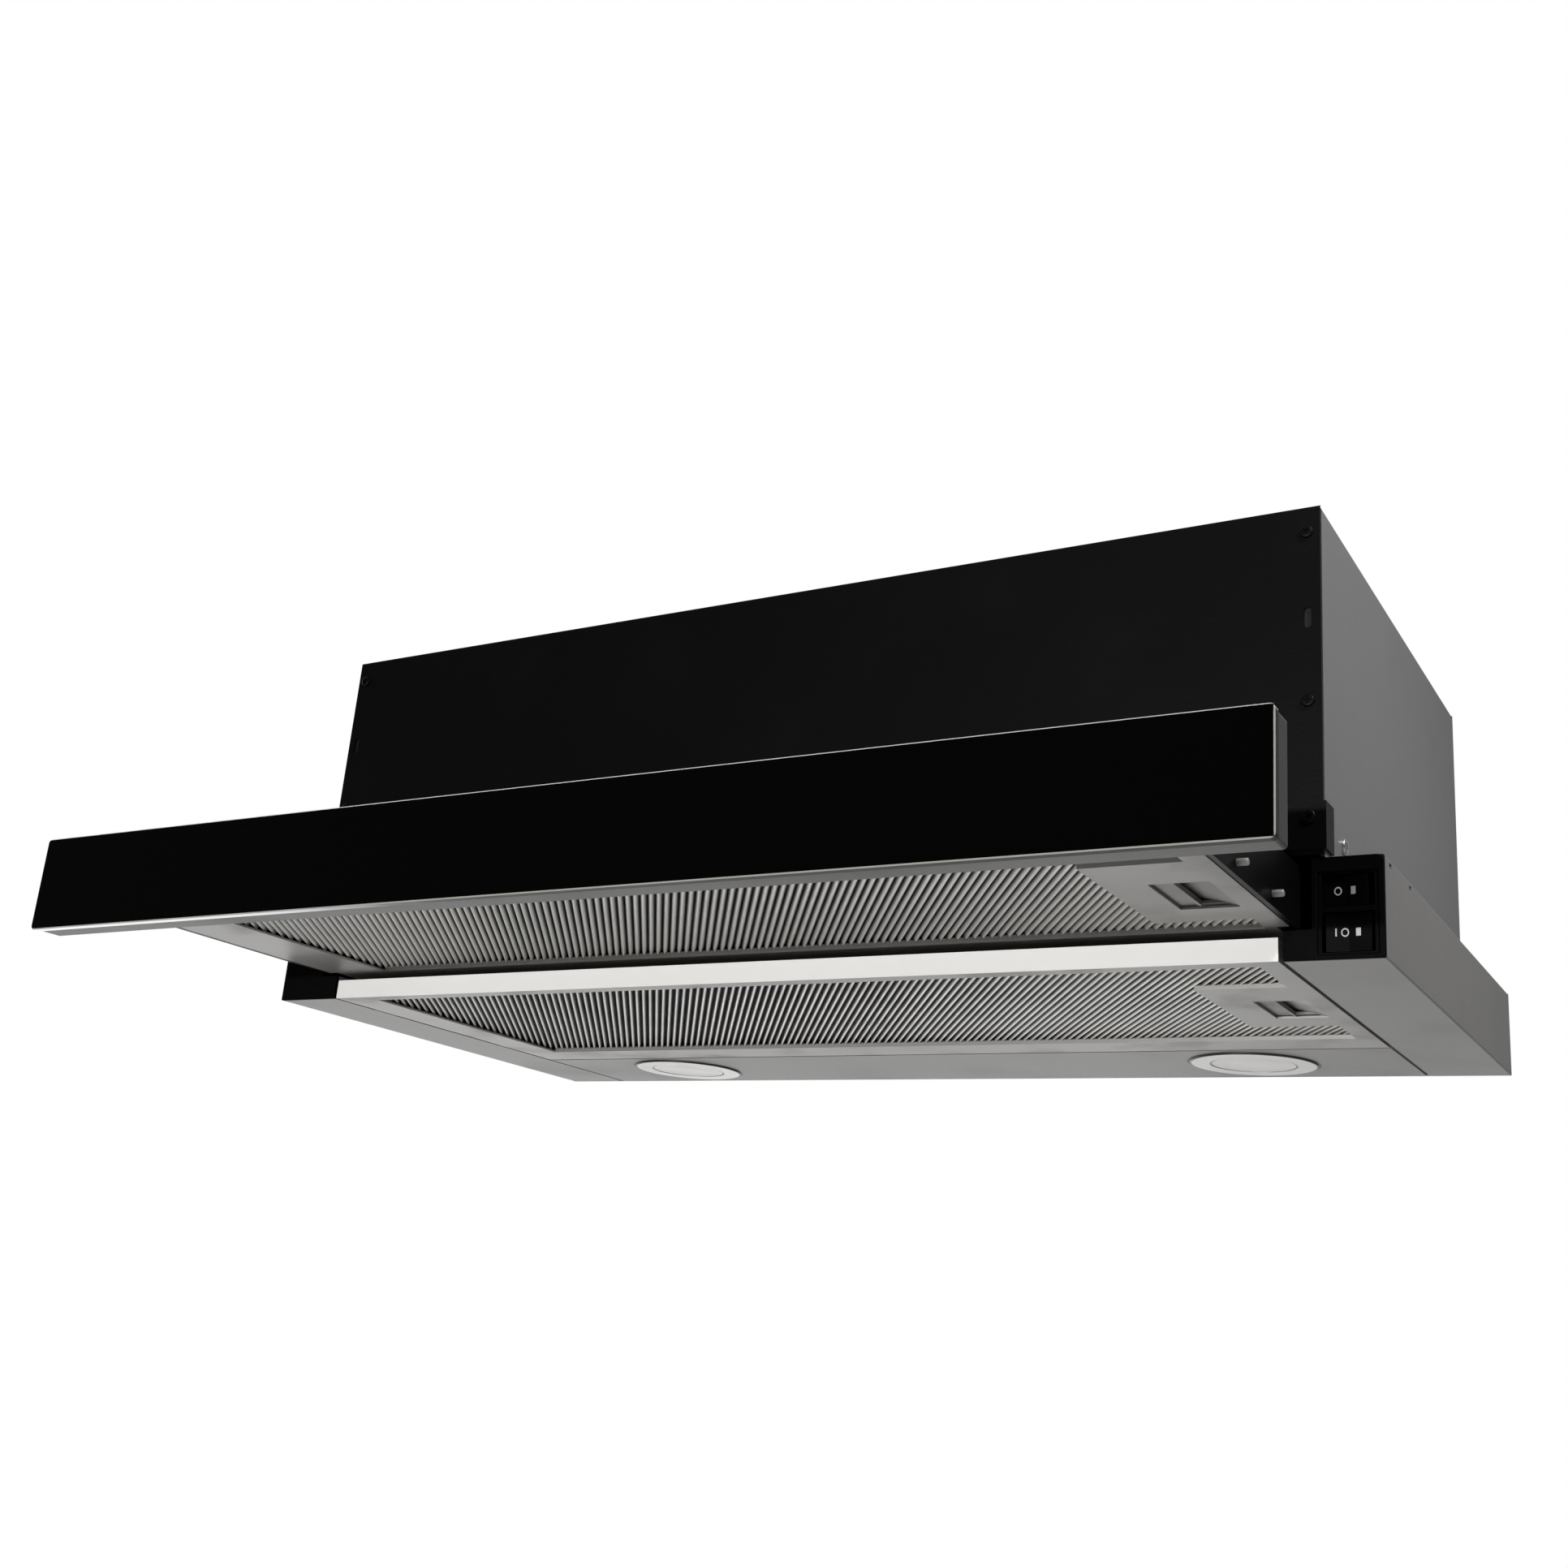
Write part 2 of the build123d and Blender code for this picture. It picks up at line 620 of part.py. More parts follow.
# ---- Filters ------------------------------------------------------------------------------
def filter_unit(name, left, right, near, far, low, height, left_margin, latch_front, tail_x, hinge_places,
                hinge_low, tail_start, bolt_reach, bead_x, bead_rows):
    """A grease filter: pressed frame with a latch panel, mesh pack, sliding latch and its spring."""
    window_x = (left + left_margin, right - window_right_margin)
    window_y = (near + window_front_margin, far - window_rear_margin)
    panel_x = right - latch_panel_width
    panel_y = (latch_front, latch_front + latch_panel_length)
    latch_y = latch_front + latch_middle
    finger_x = (right - finger_inset - finger_width, right - finger_inset)
    finger_y = (latch_y - finger_length / 2, latch_y + finger_length / 2)
    post_x = panel_x + 0.5
    post_y = (latch_y - spring_post_half, latch_y + spring_post_half)
    bolt_y = (latch_y - bolt_width / 2, latch_y + bolt_width / 2)
    slider_x = (right - slider_reach, right - filter_sheet - running_gap)
    wall_low = low + filter_sheet

    with BuildPart() as frame:
        block((left, right), (near, far), (low, low + height))
        block((left + filter_sheet, right - filter_sheet), (near + filter_sheet, far - filter_sheet),
              (wall_low, low + height + 1), Mode.SUBTRACT)
        block(window_x, window_y, (low - 1, wall_low + 1), Mode.SUBTRACT)
        block((panel_x, window_x[1] + 1), panel_y, (low, wall_low))
        block(finger_x, finger_y, (low - 1, wall_low + 1), Mode.SUBTRACT)
        block(window_x, (window_y[1], window_y[1] + filter_sheet), (low, low + window_lip))
        block((panel_x, window_x[1]), (panel_y[0], panel_y[0] + filter_sheet), (low, low + window_lip))
        block((post_x, post_x + spring_post), post_y, (low, low + height - filter_sheet))
        block((right - filter_sheet - 1, right + 1), (bolt_y[0] - running_gap, bolt_y[1] + running_gap),
              (low + bolt_lift - running_gap, low + bolt_lift + bolt_height + running_gap), Mode.SUBTRACT)
        if tail_x < right:
            for x_span in ((left - 1, -tail_x), (tail_x, right + 1)):
                block(x_span, (tail_start, far + 1), (low - 1, low + height + 1), Mode.SUBTRACT)
            for x_span in ((-tail_x, -tail_x + filter_sheet), (tail_x - filter_sheet, tail_x)):
                block(x_span, (tail_start - filter_sheet, far), (low, low + height))
            for x_span in ((left, -tail_x + filter_sheet), (tail_x - filter_sheet, right)):
                block(x_span, (tail_start - filter_sheet, tail_start), (low, low + height))
        for place in hinge_places:
            block((left - hinge_tab_reach, left + filter_sheet),
                  (place - hinge_tab_width / 2, place + hinge_tab_width / 2),
                  (hinge_low, hinge_low + hinge_tab_thickness))
        for place in bead_rows:
            rod((bead_x, place - hinge_tab_width / 2, low + hinge_bead_radius), (0, 1, 0), hinge_tab_width,
                hinge_bead_radius)
    save(frame, f"{name}_frame")

    with BuildPart() as mesh:
        block((window_x[0] - mesh_overlap, window_x[1] + mesh_overlap),
              (window_y[0] - mesh_overlap, window_y[1] + mesh_overlap),
              (low + mesh_lift, low + mesh_lift + mesh_thickness))
        block((panel_x + 0.2, right), (panel_y[0] + filter_sheet + fit_gap, panel_y[1] - 1.0),
              (low, low + height), Mode.SUBTRACT)
    save(mesh, f"{name}_mesh")

    slider_low = wall_low + slider_lift
    slider_high = slider_low + latch_plate
    pad_x = finger_x[0] + pad_width
    ramp_foot = (finger_x[1] - running_gap, low + running_gap)
    ramp_head = (ramp_foot[0] - ramp_length, ramp_foot[1] + ramp_length * ramp_slope)
    with BuildPart() as latch:
        block(slider_x, (finger_y[0] - slider_margin, finger_y[1] + slider_margin), (slider_low, slider_high))
        block((pad_x, ramp_foot[0] - 1), (finger_y[0] - 1, finger_y[1] - 3), (slider_low - 1, slider_high + 1),
              Mode.SUBTRACT)
        block((pad_x - pad_lip, pad_x), (finger_y[0] + 1, finger_y[1] - 3), (low + running_gap, slider_high))
        with BuildSketch(Plane.XZ.offset(-(finger_y[0] + running_gap))):
            with BuildLine():
                Polyline(ramp_head, ramp_foot, (ramp_foot[0], slider_low), (slider_x[1], slider_low),
                         (slider_x[1], slider_high), (ramp_foot[0] - 1, slider_high),
                         (ramp_head[0], ramp_head[1] + ramp_sheet), close=True)
            make_face()
        extrude(amount=-(finger_length - 2 * running_gap))
        with BuildSketch(Plane.XY.offset(slider_high + 0.5)):
            with BuildLine():
                Polyline((ramp_head[0] - 1, finger_y[0]), (ramp_head[0] + ramp_notch, finger_y[0]),
                         (ramp_head[0], finger_y[1]), (ramp_head[0] - 1, finger_y[1]), close=True)
            make_face()
        extrude(amount=height, mode=Mode.SUBTRACT)
        block((slider_x[1] - bolt_root, right + bolt_reach), bolt_y,
              (low + bolt_lift, low + bolt_lift + bolt_height))
        block((slider_x[1] - bolt_root, slider_x[1]), bolt_y, (slider_high, low + bolt_lift))
        block((slider_x[0], slider_x[0] + pad_lip), post_y, (slider_low, low + height - filter_sheet))
    save(latch, f"{name}_latch")

    with BuildPart() as spring:
        spring_start = (post_x + spring_post + 0.05, latch_y, wall_low + running_gap + spring_radius)
        spring_length = slider_x[0] - post_x - spring_post - 0.1
        rod(spring_start, (1, 0, 0), spring_length, spring_radius)
        rod(spring_start, (1, 0, 0), spring_length, spring_radius - spring_wire, Mode.SUBTRACT)
    save(spring, f"{name}_spring")


filter_unit("fixed_filter", -fixed_filter_half, fixed_filter_half, front, front + fixed_filter_depth, bottom,
            fixed_filter_height, fixed_window_left_margin, fixed_latch_front, fixed_filter_half, hinge_rows,
            fixed_tab_low, rear, fixed_bolt_reach, -fixed_filter_half + fixed_bead_inset, hinge_rows)

slide_filter_half = runner_inner_x - 0.8
slide_filter_front = frame_rear + slide_gap
slide_bead_rows = [slide_filter_front + hinge_tab_inset, front - hinge_tab_inset]
filter_unit("slide_filter", -slide_filter_half, slide_filter_half, slide_filter_front,
            front + slide_filter_tail, bottom + slide_filter_low, slide_filter_height,
            slide_window_left_margin, slide_latch_front, fixed_filter_half, [], 0, front - 2.0,
            slide_bolt_reach, -slide_filter_half + slide_bead_inset, slide_bead_rows)

# ---- Blower -------------------------------------------------------------------------------
neck_top = -sheet
neck_flange = 3.0
inlet_lip = 3.0
casing_flange_x = 10.0
casing_flange_y = 14.0


def scroll_profile(shrink):
    """The blower casing's side outline: a round drum with a neck that rises to the top plate."""
    with Locations((blower_y, blower_z)):
        Circle(scroll_radius - shrink)
    with Locations((0, (blower_z + neck_top) / 2)):
        Rectangle(2 * (neck_half_depth - shrink), neck_top - blower_z)


for side in (-1, 1):
    with BuildPart() as scroll:
        with BuildSketch(Plane.YZ):
            scroll_profile(0)
        extrude(amount=side * scroll_half_width)
        side_block(side, (0, scroll_half_width + casing_flange_x),
                   (-neck_half_depth - casing_flange_y, neck_half_depth + casing_flange_y),
                   (neck_top - neck_flange, neck_top))
        with BuildSketch(Plane.YZ):
            scroll_profile(scroll_wall)
        extrude(amount=side * (scroll_half_width - scroll_wall), mode=Mode.SUBTRACT)
        inlet = (side * (scroll_half_width - scroll_wall - 1), blower_y, blower_z)
        rod(inlet, (side, 0, 0), scroll_wall + inlet_lip + 1, inlet_radius + scroll_wall)
        rod(inlet, (side, 0, 0), scroll_wall + inlet_lip + 2, inlet_radius, Mode.SUBTRACT)
        with BuildSketch(Plane.XY.offset(neck_top - neck_flange)):
            with PolarLocations(collar_screw_circle / 2, 4, 45):
                Circle(small_screw_radius + fit_gap)
        extrude(amount=neck_flange, mode=Mode.SUBTRACT)
    save(scroll, f"blower_casing_{side_name(side)}")

motor_back = -scroll_half_width - inlet_lip
hub_x = 6.0
hub_radius = 10.0
hub_length = 11.0
disc_sheet = 2.0
blade_angle = 35
boss_radius = 9.0
boss_length = 4.0
motor_corner = 4.0
shaft_reach = 8.0
shaft_tail = 12.0
bearing_gap = 0.05

with BuildPart() as motor:
    rod((motor_back, blower_y, blower_z), (1, 0, 0), motor_length, motor_radius)
    fillet(motor.edges().filter_by(GeomType.CIRCLE), radius=motor_corner)
    rod((motor_back - boss_length, blower_y, blower_z), (1, 0, 0), motor_length + 2 * boss_length, boss_radius)
    rod((motor_back - boss_length - 1, blower_y, blower_z), (1, 0, 0), motor_length + 2 * boss_length + 2,
        shaft_radius + bearing_gap, Mode.SUBTRACT)
save(motor, "motor")

bracket_x = -scroll_half_width - inlet_lip
bracket_arm = 56.0
bracket_arm_width = 10.0
bracket_bore = 11.0
with BuildPart() as motor_bracket:
    with BuildSketch(Plane.YZ.offset(bracket_x - sheet)):
        with Locations((blower_y, blower_z)):
            Circle(motor_radius + 2.0)
            with PolarLocations(0, 3, 90):
                with Locations((bracket_arm / 2 - 1, 0)):
                    Rectangle(bracket_arm, bracket_arm_width)
            Circle(bracket_bore, mode=Mode.SUBTRACT)
    extrude(amount=sheet)
save(motor_bracket, "motor_bracket")

with BuildPart() as motor_shaft:
    rod((motor_back - shaft_reach, blower_y, blower_z), (1, 0, 0),
        hub_x + shaft_tail - motor_back + shaft_reach, shaft_radius)
save(motor_shaft, "motor_shaft")

with BuildPart() as impeller:
    hub_centre = (hub_x, blower_y, blower_z)
    rod(hub_centre, (1, 0, 0), disc_sheet, impeller_radius)
    rod(hub_centre, (1, 0, 0), hub_length, hub_radius)
    for ring_x in (-impeller_width / 2, impeller_width / 2 - disc_sheet):
        rod((ring_x, blower_y, blower_z), (1, 0, 0), disc_sheet, impeller_radius)
        rod((ring_x - 1, blower_y, blower_z), (1, 0, 0), disc_sheet + 2, impeller_inner_radius, Mode.SUBTRACT)
    blade_reach = impeller_radius - impeller_inner_radius - 1.0
    with BuildSketch(Plane.YZ.offset(-impeller_width / 2)):
        with Locations((blower_y, blower_z)):
            with PolarLocations((impeller_radius + impeller_inner_radius) / 2, blade_count):
                Rectangle(blade_reach, blade_thickness, rotation=blade_angle)
    extrude(amount=impeller_width)
    rod((hub_x - 1, blower_y, blower_z), (1, 0, 0), hub_length + 3, shaft_radius, Mode.SUBTRACT)
save(impeller, "impeller")

# ---- Collar and back-draught flaps --------------------------------------------------------
collar_bore = collar_radius - collar_wall
seat_height = 10.0
seat_sheet = 1.7
seat_width = 3.5
flap_low = seat_height + seat_sheet + 0.3
flap_radius = collar_bore - 0.9
pin_seat = 1.8
collar_chamfer = 0.8
knuckle_radius = 3.0
knuckle_length = 15.0
knuckle_gap = 0.5
knuckle_pitch = knuckle_length + knuckle_gap

with BuildPart() as duct_collar:
    rod((0, 0, 0), (0, 0, 1), collar_flange, collar_flange_radius)
    rod((0, 0, 0), (0, 0, 1), collar_height, collar_radius)
    chamfer(duct_collar.edges().filter_by(GeomType.CIRCLE).group_by(Axis.Z)[-1], length=collar_chamfer)
    rod((0, 0, -1), (0, 0, 1), collar_height + 2, collar_bore, Mode.SUBTRACT)
    rod((0, 0, seat_height), (0, 0, 1), seat_sheet, collar_bore + 1)
    rod((0, 0, seat_height - 1), (0, 0, 1), seat_sheet + 2, collar_bore - seat_width, Mode.SUBTRACT)
    rod((-collar_radius - 1, 0, flap_pin_height), (1, 0, 0), 2 * collar_radius + 2, flap_pin_radius,
        Mode.SUBTRACT)
    with BuildSketch(Plane.XY):
        with PolarLocations(collar_screw_circle / 2, 4, 45):
            Circle(small_screw_radius + fit_gap)
    extrude(amount=collar_flange, mode=Mode.SUBTRACT)
save(duct_collar, "duct_collar")

with BuildPart() as flap_pin:
    rod((-collar_bore - pin_seat, 0, flap_pin_height), (1, 0, 0), 2 * (collar_bore + pin_seat), flap_pin_radius)
save(flap_pin, "flap_pin")


def flap(name, side, own_knuckles, other_knuckles):
    """A half-round back-draught flap with its knuckles on the pin; side is 1 towards the wall."""
    with BuildPart() as plate:
        with BuildSketch(Plane.XY.offset(flap_low)):
            Circle(flap_radius)
            with Locations((0, -side * flap_radius / 2)):
                Rectangle(2 * flap_radius + 2, flap_radius + 0.8, mode=Mode.SUBTRACT)
            for start in other_knuckles:
                with Locations((start + knuckle_length / 2, 0)):
                    Rectangle(knuckle_length + 2 * knuckle_gap, 2 * knuckle_radius + 1.6, mode=Mode.SUBTRACT)
        extrude(amount=flap_thickness)
        for start in own_knuckles:
            rod((start, 0, flap_pin_height), (1, 0, 0), knuckle_length, knuckle_radius)
        for start in own_knuckles:
            rod((start - 1, 0, flap_pin_height), (1, 0, 0), knuckle_length + 2,
                flap_pin_radius + pin_clearance, Mode.SUBTRACT)
    save(plate, name)


front_knuckles = [-2 * knuckle_pitch, 0.0]
rear_knuckles = [-knuckle_pitch, knuckle_pitch]
flap("flap_front", -1, front_knuckles, rear_knuckles)
flap("flap_rear", 1, rear_knuckles, front_knuckles)

with BuildPart() as collar_screws:
    with BuildSketch(Plane.XY.offset(collar_flange)):
        with PolarLocations(collar_screw_circle / 2, 4, 45):
            Circle(small_screw_head)
    extrude(amount=frame_head_height)
    with BuildSketch(Plane.XY.offset(-screw_length)):
        with PolarLocations(collar_screw_circle / 2, 4, 45):
            Circle(small_screw_radius)
    extrude(amount=screw_length + collar_flange)
save(collar_screws, "collar_screws")

# ---- Electrical parts ---------------------------------------------------------------------
gland_rim = 3.0
gland_low = -8.0
gland_high = 12.0

with BuildPart() as cable_gland:
    rod((gland_x, gland_y, 0), (0, 0, 1), gland_rim, gland_rim_radius)
    rod((gland_x, gland_y, gland_low), (0, 0, 1), gland_high - gland_low, gland_radius)
    rod((gland_x, gland_y, -sheet - gland_nut), (0, 0, 1), gland_nut, gland_rim_radius - 1)
    chamfer(cable_gland.edges().filter_by(GeomType.CIRCLE).group_by(Axis.Z)[-1], length=1.0)
    rod((gland_x, gland_y, gland_low - 1), (0, 0, 1), gland_high - gland_low + 2, cable_radius, Mode.SUBTRACT)
save(cable_gland, "cable_gland")

box_wall = 1.8
lid_sheet = 2.0
lid_corner = 1.5
cable_hole_z = -16.0
block_low = -20.0
block_middle = 26.0
block_half = 10.0
block_length = 50.0
pole_pitch = 10.0
pole_radius = 2.4
pole_depth = 4.0
box_x = (gland_x - 45.0, gland_x + 35.0)
box_y = (gland_y - 80.0, gland_y - 24.0)
box_z = (-34.0, -sheet)
with BuildPart() as terminal_box:
    block(box_x, box_y, box_z)
    block((box_x[0] + box_wall, box_x[1] - box_wall), (box_y[0] + box_wall, box_y[1] - box_wall),
          (box_z[0] - 1, box_z[1] - box_wall), Mode.SUBTRACT)
    rod((gland_x, box_y[1] + 1, cable_hole_z), (0, -1, 0), box_wall + 2, cable_radius, Mode.SUBTRACT)
save(terminal_box, "terminal_box")

with BuildPart() as terminal_lid:
    block(box_x, box_y, (box_z[0] - lid_sheet, box_z[0]))
    fillet(terminal_lid.edges().filter_by(Axis.Z), radius=lid_corner)
save(terminal_lid, "terminal_lid")

with BuildPart() as terminal_block:
    block_x = sum(box_x) / 2
    block_y = box_y[0] + block_middle
    block((block_x - block_length / 2, block_x + block_length / 2), (block_y - block_half, block_y + block_half),
          (block_low, -sheet - box_wall))
    with BuildSketch(Plane.XY.offset(block_low)):
        with Locations((block_x, block_y)):
            with GridLocations(pole_pitch, pole_pitch, 5, 2):
                Circle(pole_radius)
    extrude(amount=pole_depth, mode=Mode.SUBTRACT)
save(terminal_block, "terminal_block")

can_x = -housing_x + 93.7
can_y = 40.0
can_z = -20.0
can_length = 60.0
can_radius = 15.0
can_foot = 10.0
can_foot_sheet = 2.8
can_neck = 6.0

with BuildPart() as capacitor:
    rod((can_x + can_length / 2, can_y, can_z), (-1, 0, 0), can_length, can_radius)
    block((can_x - can_foot, can_x + can_foot), (can_y - can_radius - 1, can_y + can_radius + 1),
          (-sheet - can_foot_sheet, -sheet))
    block((can_x - can_neck, can_x + can_neck), (can_y - can_neck, can_y + can_neck),
          (can_z + can_radius - 2, -sheet))
save(capacitor, "capacitor")

driver_x = (-housing_x + 43.7, -housing_x + 133.7)
driver_y = (-60.0, -20.0)
driver_middle = sum(driver_y) / 2
driver_height = 21.8
driver_corner = 3.0
driver_ear = 10.0
driver_ear_half = 6.0
driver_ear_sheet = 2.0

with BuildPart() as led_driver:
    block(driver_x, driver_y, (-sheet - driver_height, -sheet))
    fillet(led_driver.edges().filter_by(Axis.Z), radius=driver_corner)
    block((driver_x[0] - driver_ear, driver_x[1] + driver_ear), (driver_middle - driver_ear_half,
          driver_middle + driver_ear_half), (-sheet - driver_ear_sheet, -sheet))
save(led_driver, "led_driver")

# ---- Microswitch that the carriage reaches when it is pushed in ----------------------------
micro_x = (222.0, 248.0)
micro_z = (bottom + 24.0, bottom + 34.0)
micro_front = rear - 17.6
lever_pin = (micro_x[0] + 2.4, micro_front - 4.4)
lever_pin_radius = 0.7
lever_z = (micro_z[0] + 2.0, micro_z[1] - 2.0)
lever_side_gap = 0.3
ear_half = 1.8
pin_inset = 0.5
knuckle = 1.5
blade = (0.9, 0.3)

with BuildPart() as microswitch:
    block(micro_x, (micro_front, channel_back), micro_z)
    for z_span in ((micro_z[0], lever_z[0] - lever_side_gap), (lever_z[1] + lever_side_gap, micro_z[1])):
        block((lever_pin[0] - ear_half, lever_pin[0] + ear_half), (lever_pin[1] - ear_half, micro_front), z_span)
    rod((lever_pin[0], lever_pin[1], micro_z[0] + pin_inset), (0, 0, 1),
        micro_z[1] - micro_z[0] - 2 * pin_inset, lever_pin_radius)
save(microswitch, "microswitch")

with BuildPart() as microswitch_lever:
    rod((lever_pin[0], lever_pin[1], lever_z[0]), (0, 0, 1), lever_z[1] - lever_z[0], knuckle)
    block((lever_pin[0], micro_x[1] + 2), (lever_pin[1] - blade[0], lever_pin[1] - blade[1]), lever_z)
    rod((lever_pin[0], lever_pin[1], lever_z[0] - 1), (0, 0, 1), lever_z[1] - lever_z[0] + 2,
        lever_pin_radius + pin_clearance, Mode.SUBTRACT)
save(microswitch_lever, "microswitch_lever")
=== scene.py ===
"""Looks for a telescopic under cabinet range hood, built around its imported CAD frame."""

import json
import logging
import math
from collections.abc import Callable, Iterable, Sequence
from dataclasses import dataclass
from enum import Enum

import bmesh
import bpy
from mathutils import Matrix, Vector

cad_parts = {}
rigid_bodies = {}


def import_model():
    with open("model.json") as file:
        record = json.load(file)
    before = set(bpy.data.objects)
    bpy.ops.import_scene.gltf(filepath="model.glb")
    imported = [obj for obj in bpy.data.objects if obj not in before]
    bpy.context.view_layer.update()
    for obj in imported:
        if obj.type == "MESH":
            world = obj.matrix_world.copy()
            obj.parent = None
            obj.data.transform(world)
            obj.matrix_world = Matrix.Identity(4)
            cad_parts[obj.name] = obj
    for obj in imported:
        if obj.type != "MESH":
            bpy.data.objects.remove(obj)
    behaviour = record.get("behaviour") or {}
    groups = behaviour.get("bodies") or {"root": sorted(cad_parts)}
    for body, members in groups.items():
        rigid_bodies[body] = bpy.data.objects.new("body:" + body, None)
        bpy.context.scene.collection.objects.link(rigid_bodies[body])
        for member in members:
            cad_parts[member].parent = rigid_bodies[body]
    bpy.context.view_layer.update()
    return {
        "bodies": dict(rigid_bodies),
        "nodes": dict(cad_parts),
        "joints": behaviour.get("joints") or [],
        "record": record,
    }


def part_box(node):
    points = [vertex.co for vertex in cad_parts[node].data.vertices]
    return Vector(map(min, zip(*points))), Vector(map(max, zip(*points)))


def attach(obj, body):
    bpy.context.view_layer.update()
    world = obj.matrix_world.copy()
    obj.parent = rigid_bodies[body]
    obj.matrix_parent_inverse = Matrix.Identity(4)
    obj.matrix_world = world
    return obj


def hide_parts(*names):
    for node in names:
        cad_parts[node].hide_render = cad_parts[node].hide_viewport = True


Colour = tuple[float, float, float]
Span = tuple[float, float]
Point = tuple[float, float, float]

LOG = logging.getLogger("range_hood")
MM = 0.001
TOUCH = 1e-6
FLAT_DEGREES = 0.5
EDGE_DEGREES = 40.0
EDGE_BLACK: Colour = (0.0065, 0.0062, 0.0060)
SHADOW_RING_DARK: Colour = (0.03, 0.03, 0.03)


# ---- Shader language ------------------------------------------------------------------------
class Wire:
    """A shader value that takes part in arithmetic; each operation adds one Math node."""

    def __init__(self, recipe: "Recipe", socket: bpy.types.NodeSocket) -> None:
        """Hold a socket of a recipe."""
        self.recipe = recipe
        self.socket = socket

    def _math(self, operation: str, *operands: "Wire | float") -> "Wire":
        """Add a Math node.

        Args:
            operation: The Math node's operation.
            operands: Its inputs, in order, as wires or numbers.

        Returns:
            The node's result.
        """
        return self.recipe.node("ShaderNodeMath", {"operation": operation}, dict(enumerate(operands)))

    def __add__(self, other: "Wire | float") -> "Wire":
        """Sum."""
        return self._math("ADD", self, other)

    __radd__ = __add__

    def __mul__(self, other: "Wire | float") -> "Wire":
        """Product."""
        return self._math("MULTIPLY", self, other)

    __rmul__ = __mul__

    def __sub__(self, other: "Wire | float") -> "Wire":
        """Difference."""
        return self._math("SUBTRACT", self, other)

    def __rsub__(self, other: "Wire | float") -> "Wire":
        """Difference with a number first."""
        return self._math("SUBTRACT", other, self)

    def __gt__(self, other: "Wire | float") -> "Wire":
        """One where this is the larger, else zero."""
        return self._math("GREATER_THAN", self, other)

    def __lt__(self, other: "Wire | float") -> "Wire":
        """One where this is the smaller, else zero."""
        return self._math("LESS_THAN", self, other)

    def __abs__(self) -> "Wire":
        """Size without sign."""
        return self._math("ABSOLUTE", self)

    def least(self, other: "Wire | float") -> "Wire":
        """The smaller of two."""
        return self._math("MINIMUM", self, other)

    def sine(self) -> "Wire":
        """Sine of this value in radians."""
        return self._math("SINE", self)

    def ramp(self, low: float, high: float) -> "Wire":
        """Smooth step from 0 at low to 1 at high."""
        settings = {"interpolation_type": "SMOOTHSTEP"}
        inputs = {"Value": self, "From Min": low, "From Max": high}
        return self.recipe.node("ShaderNodeMapRange", settings, inputs)


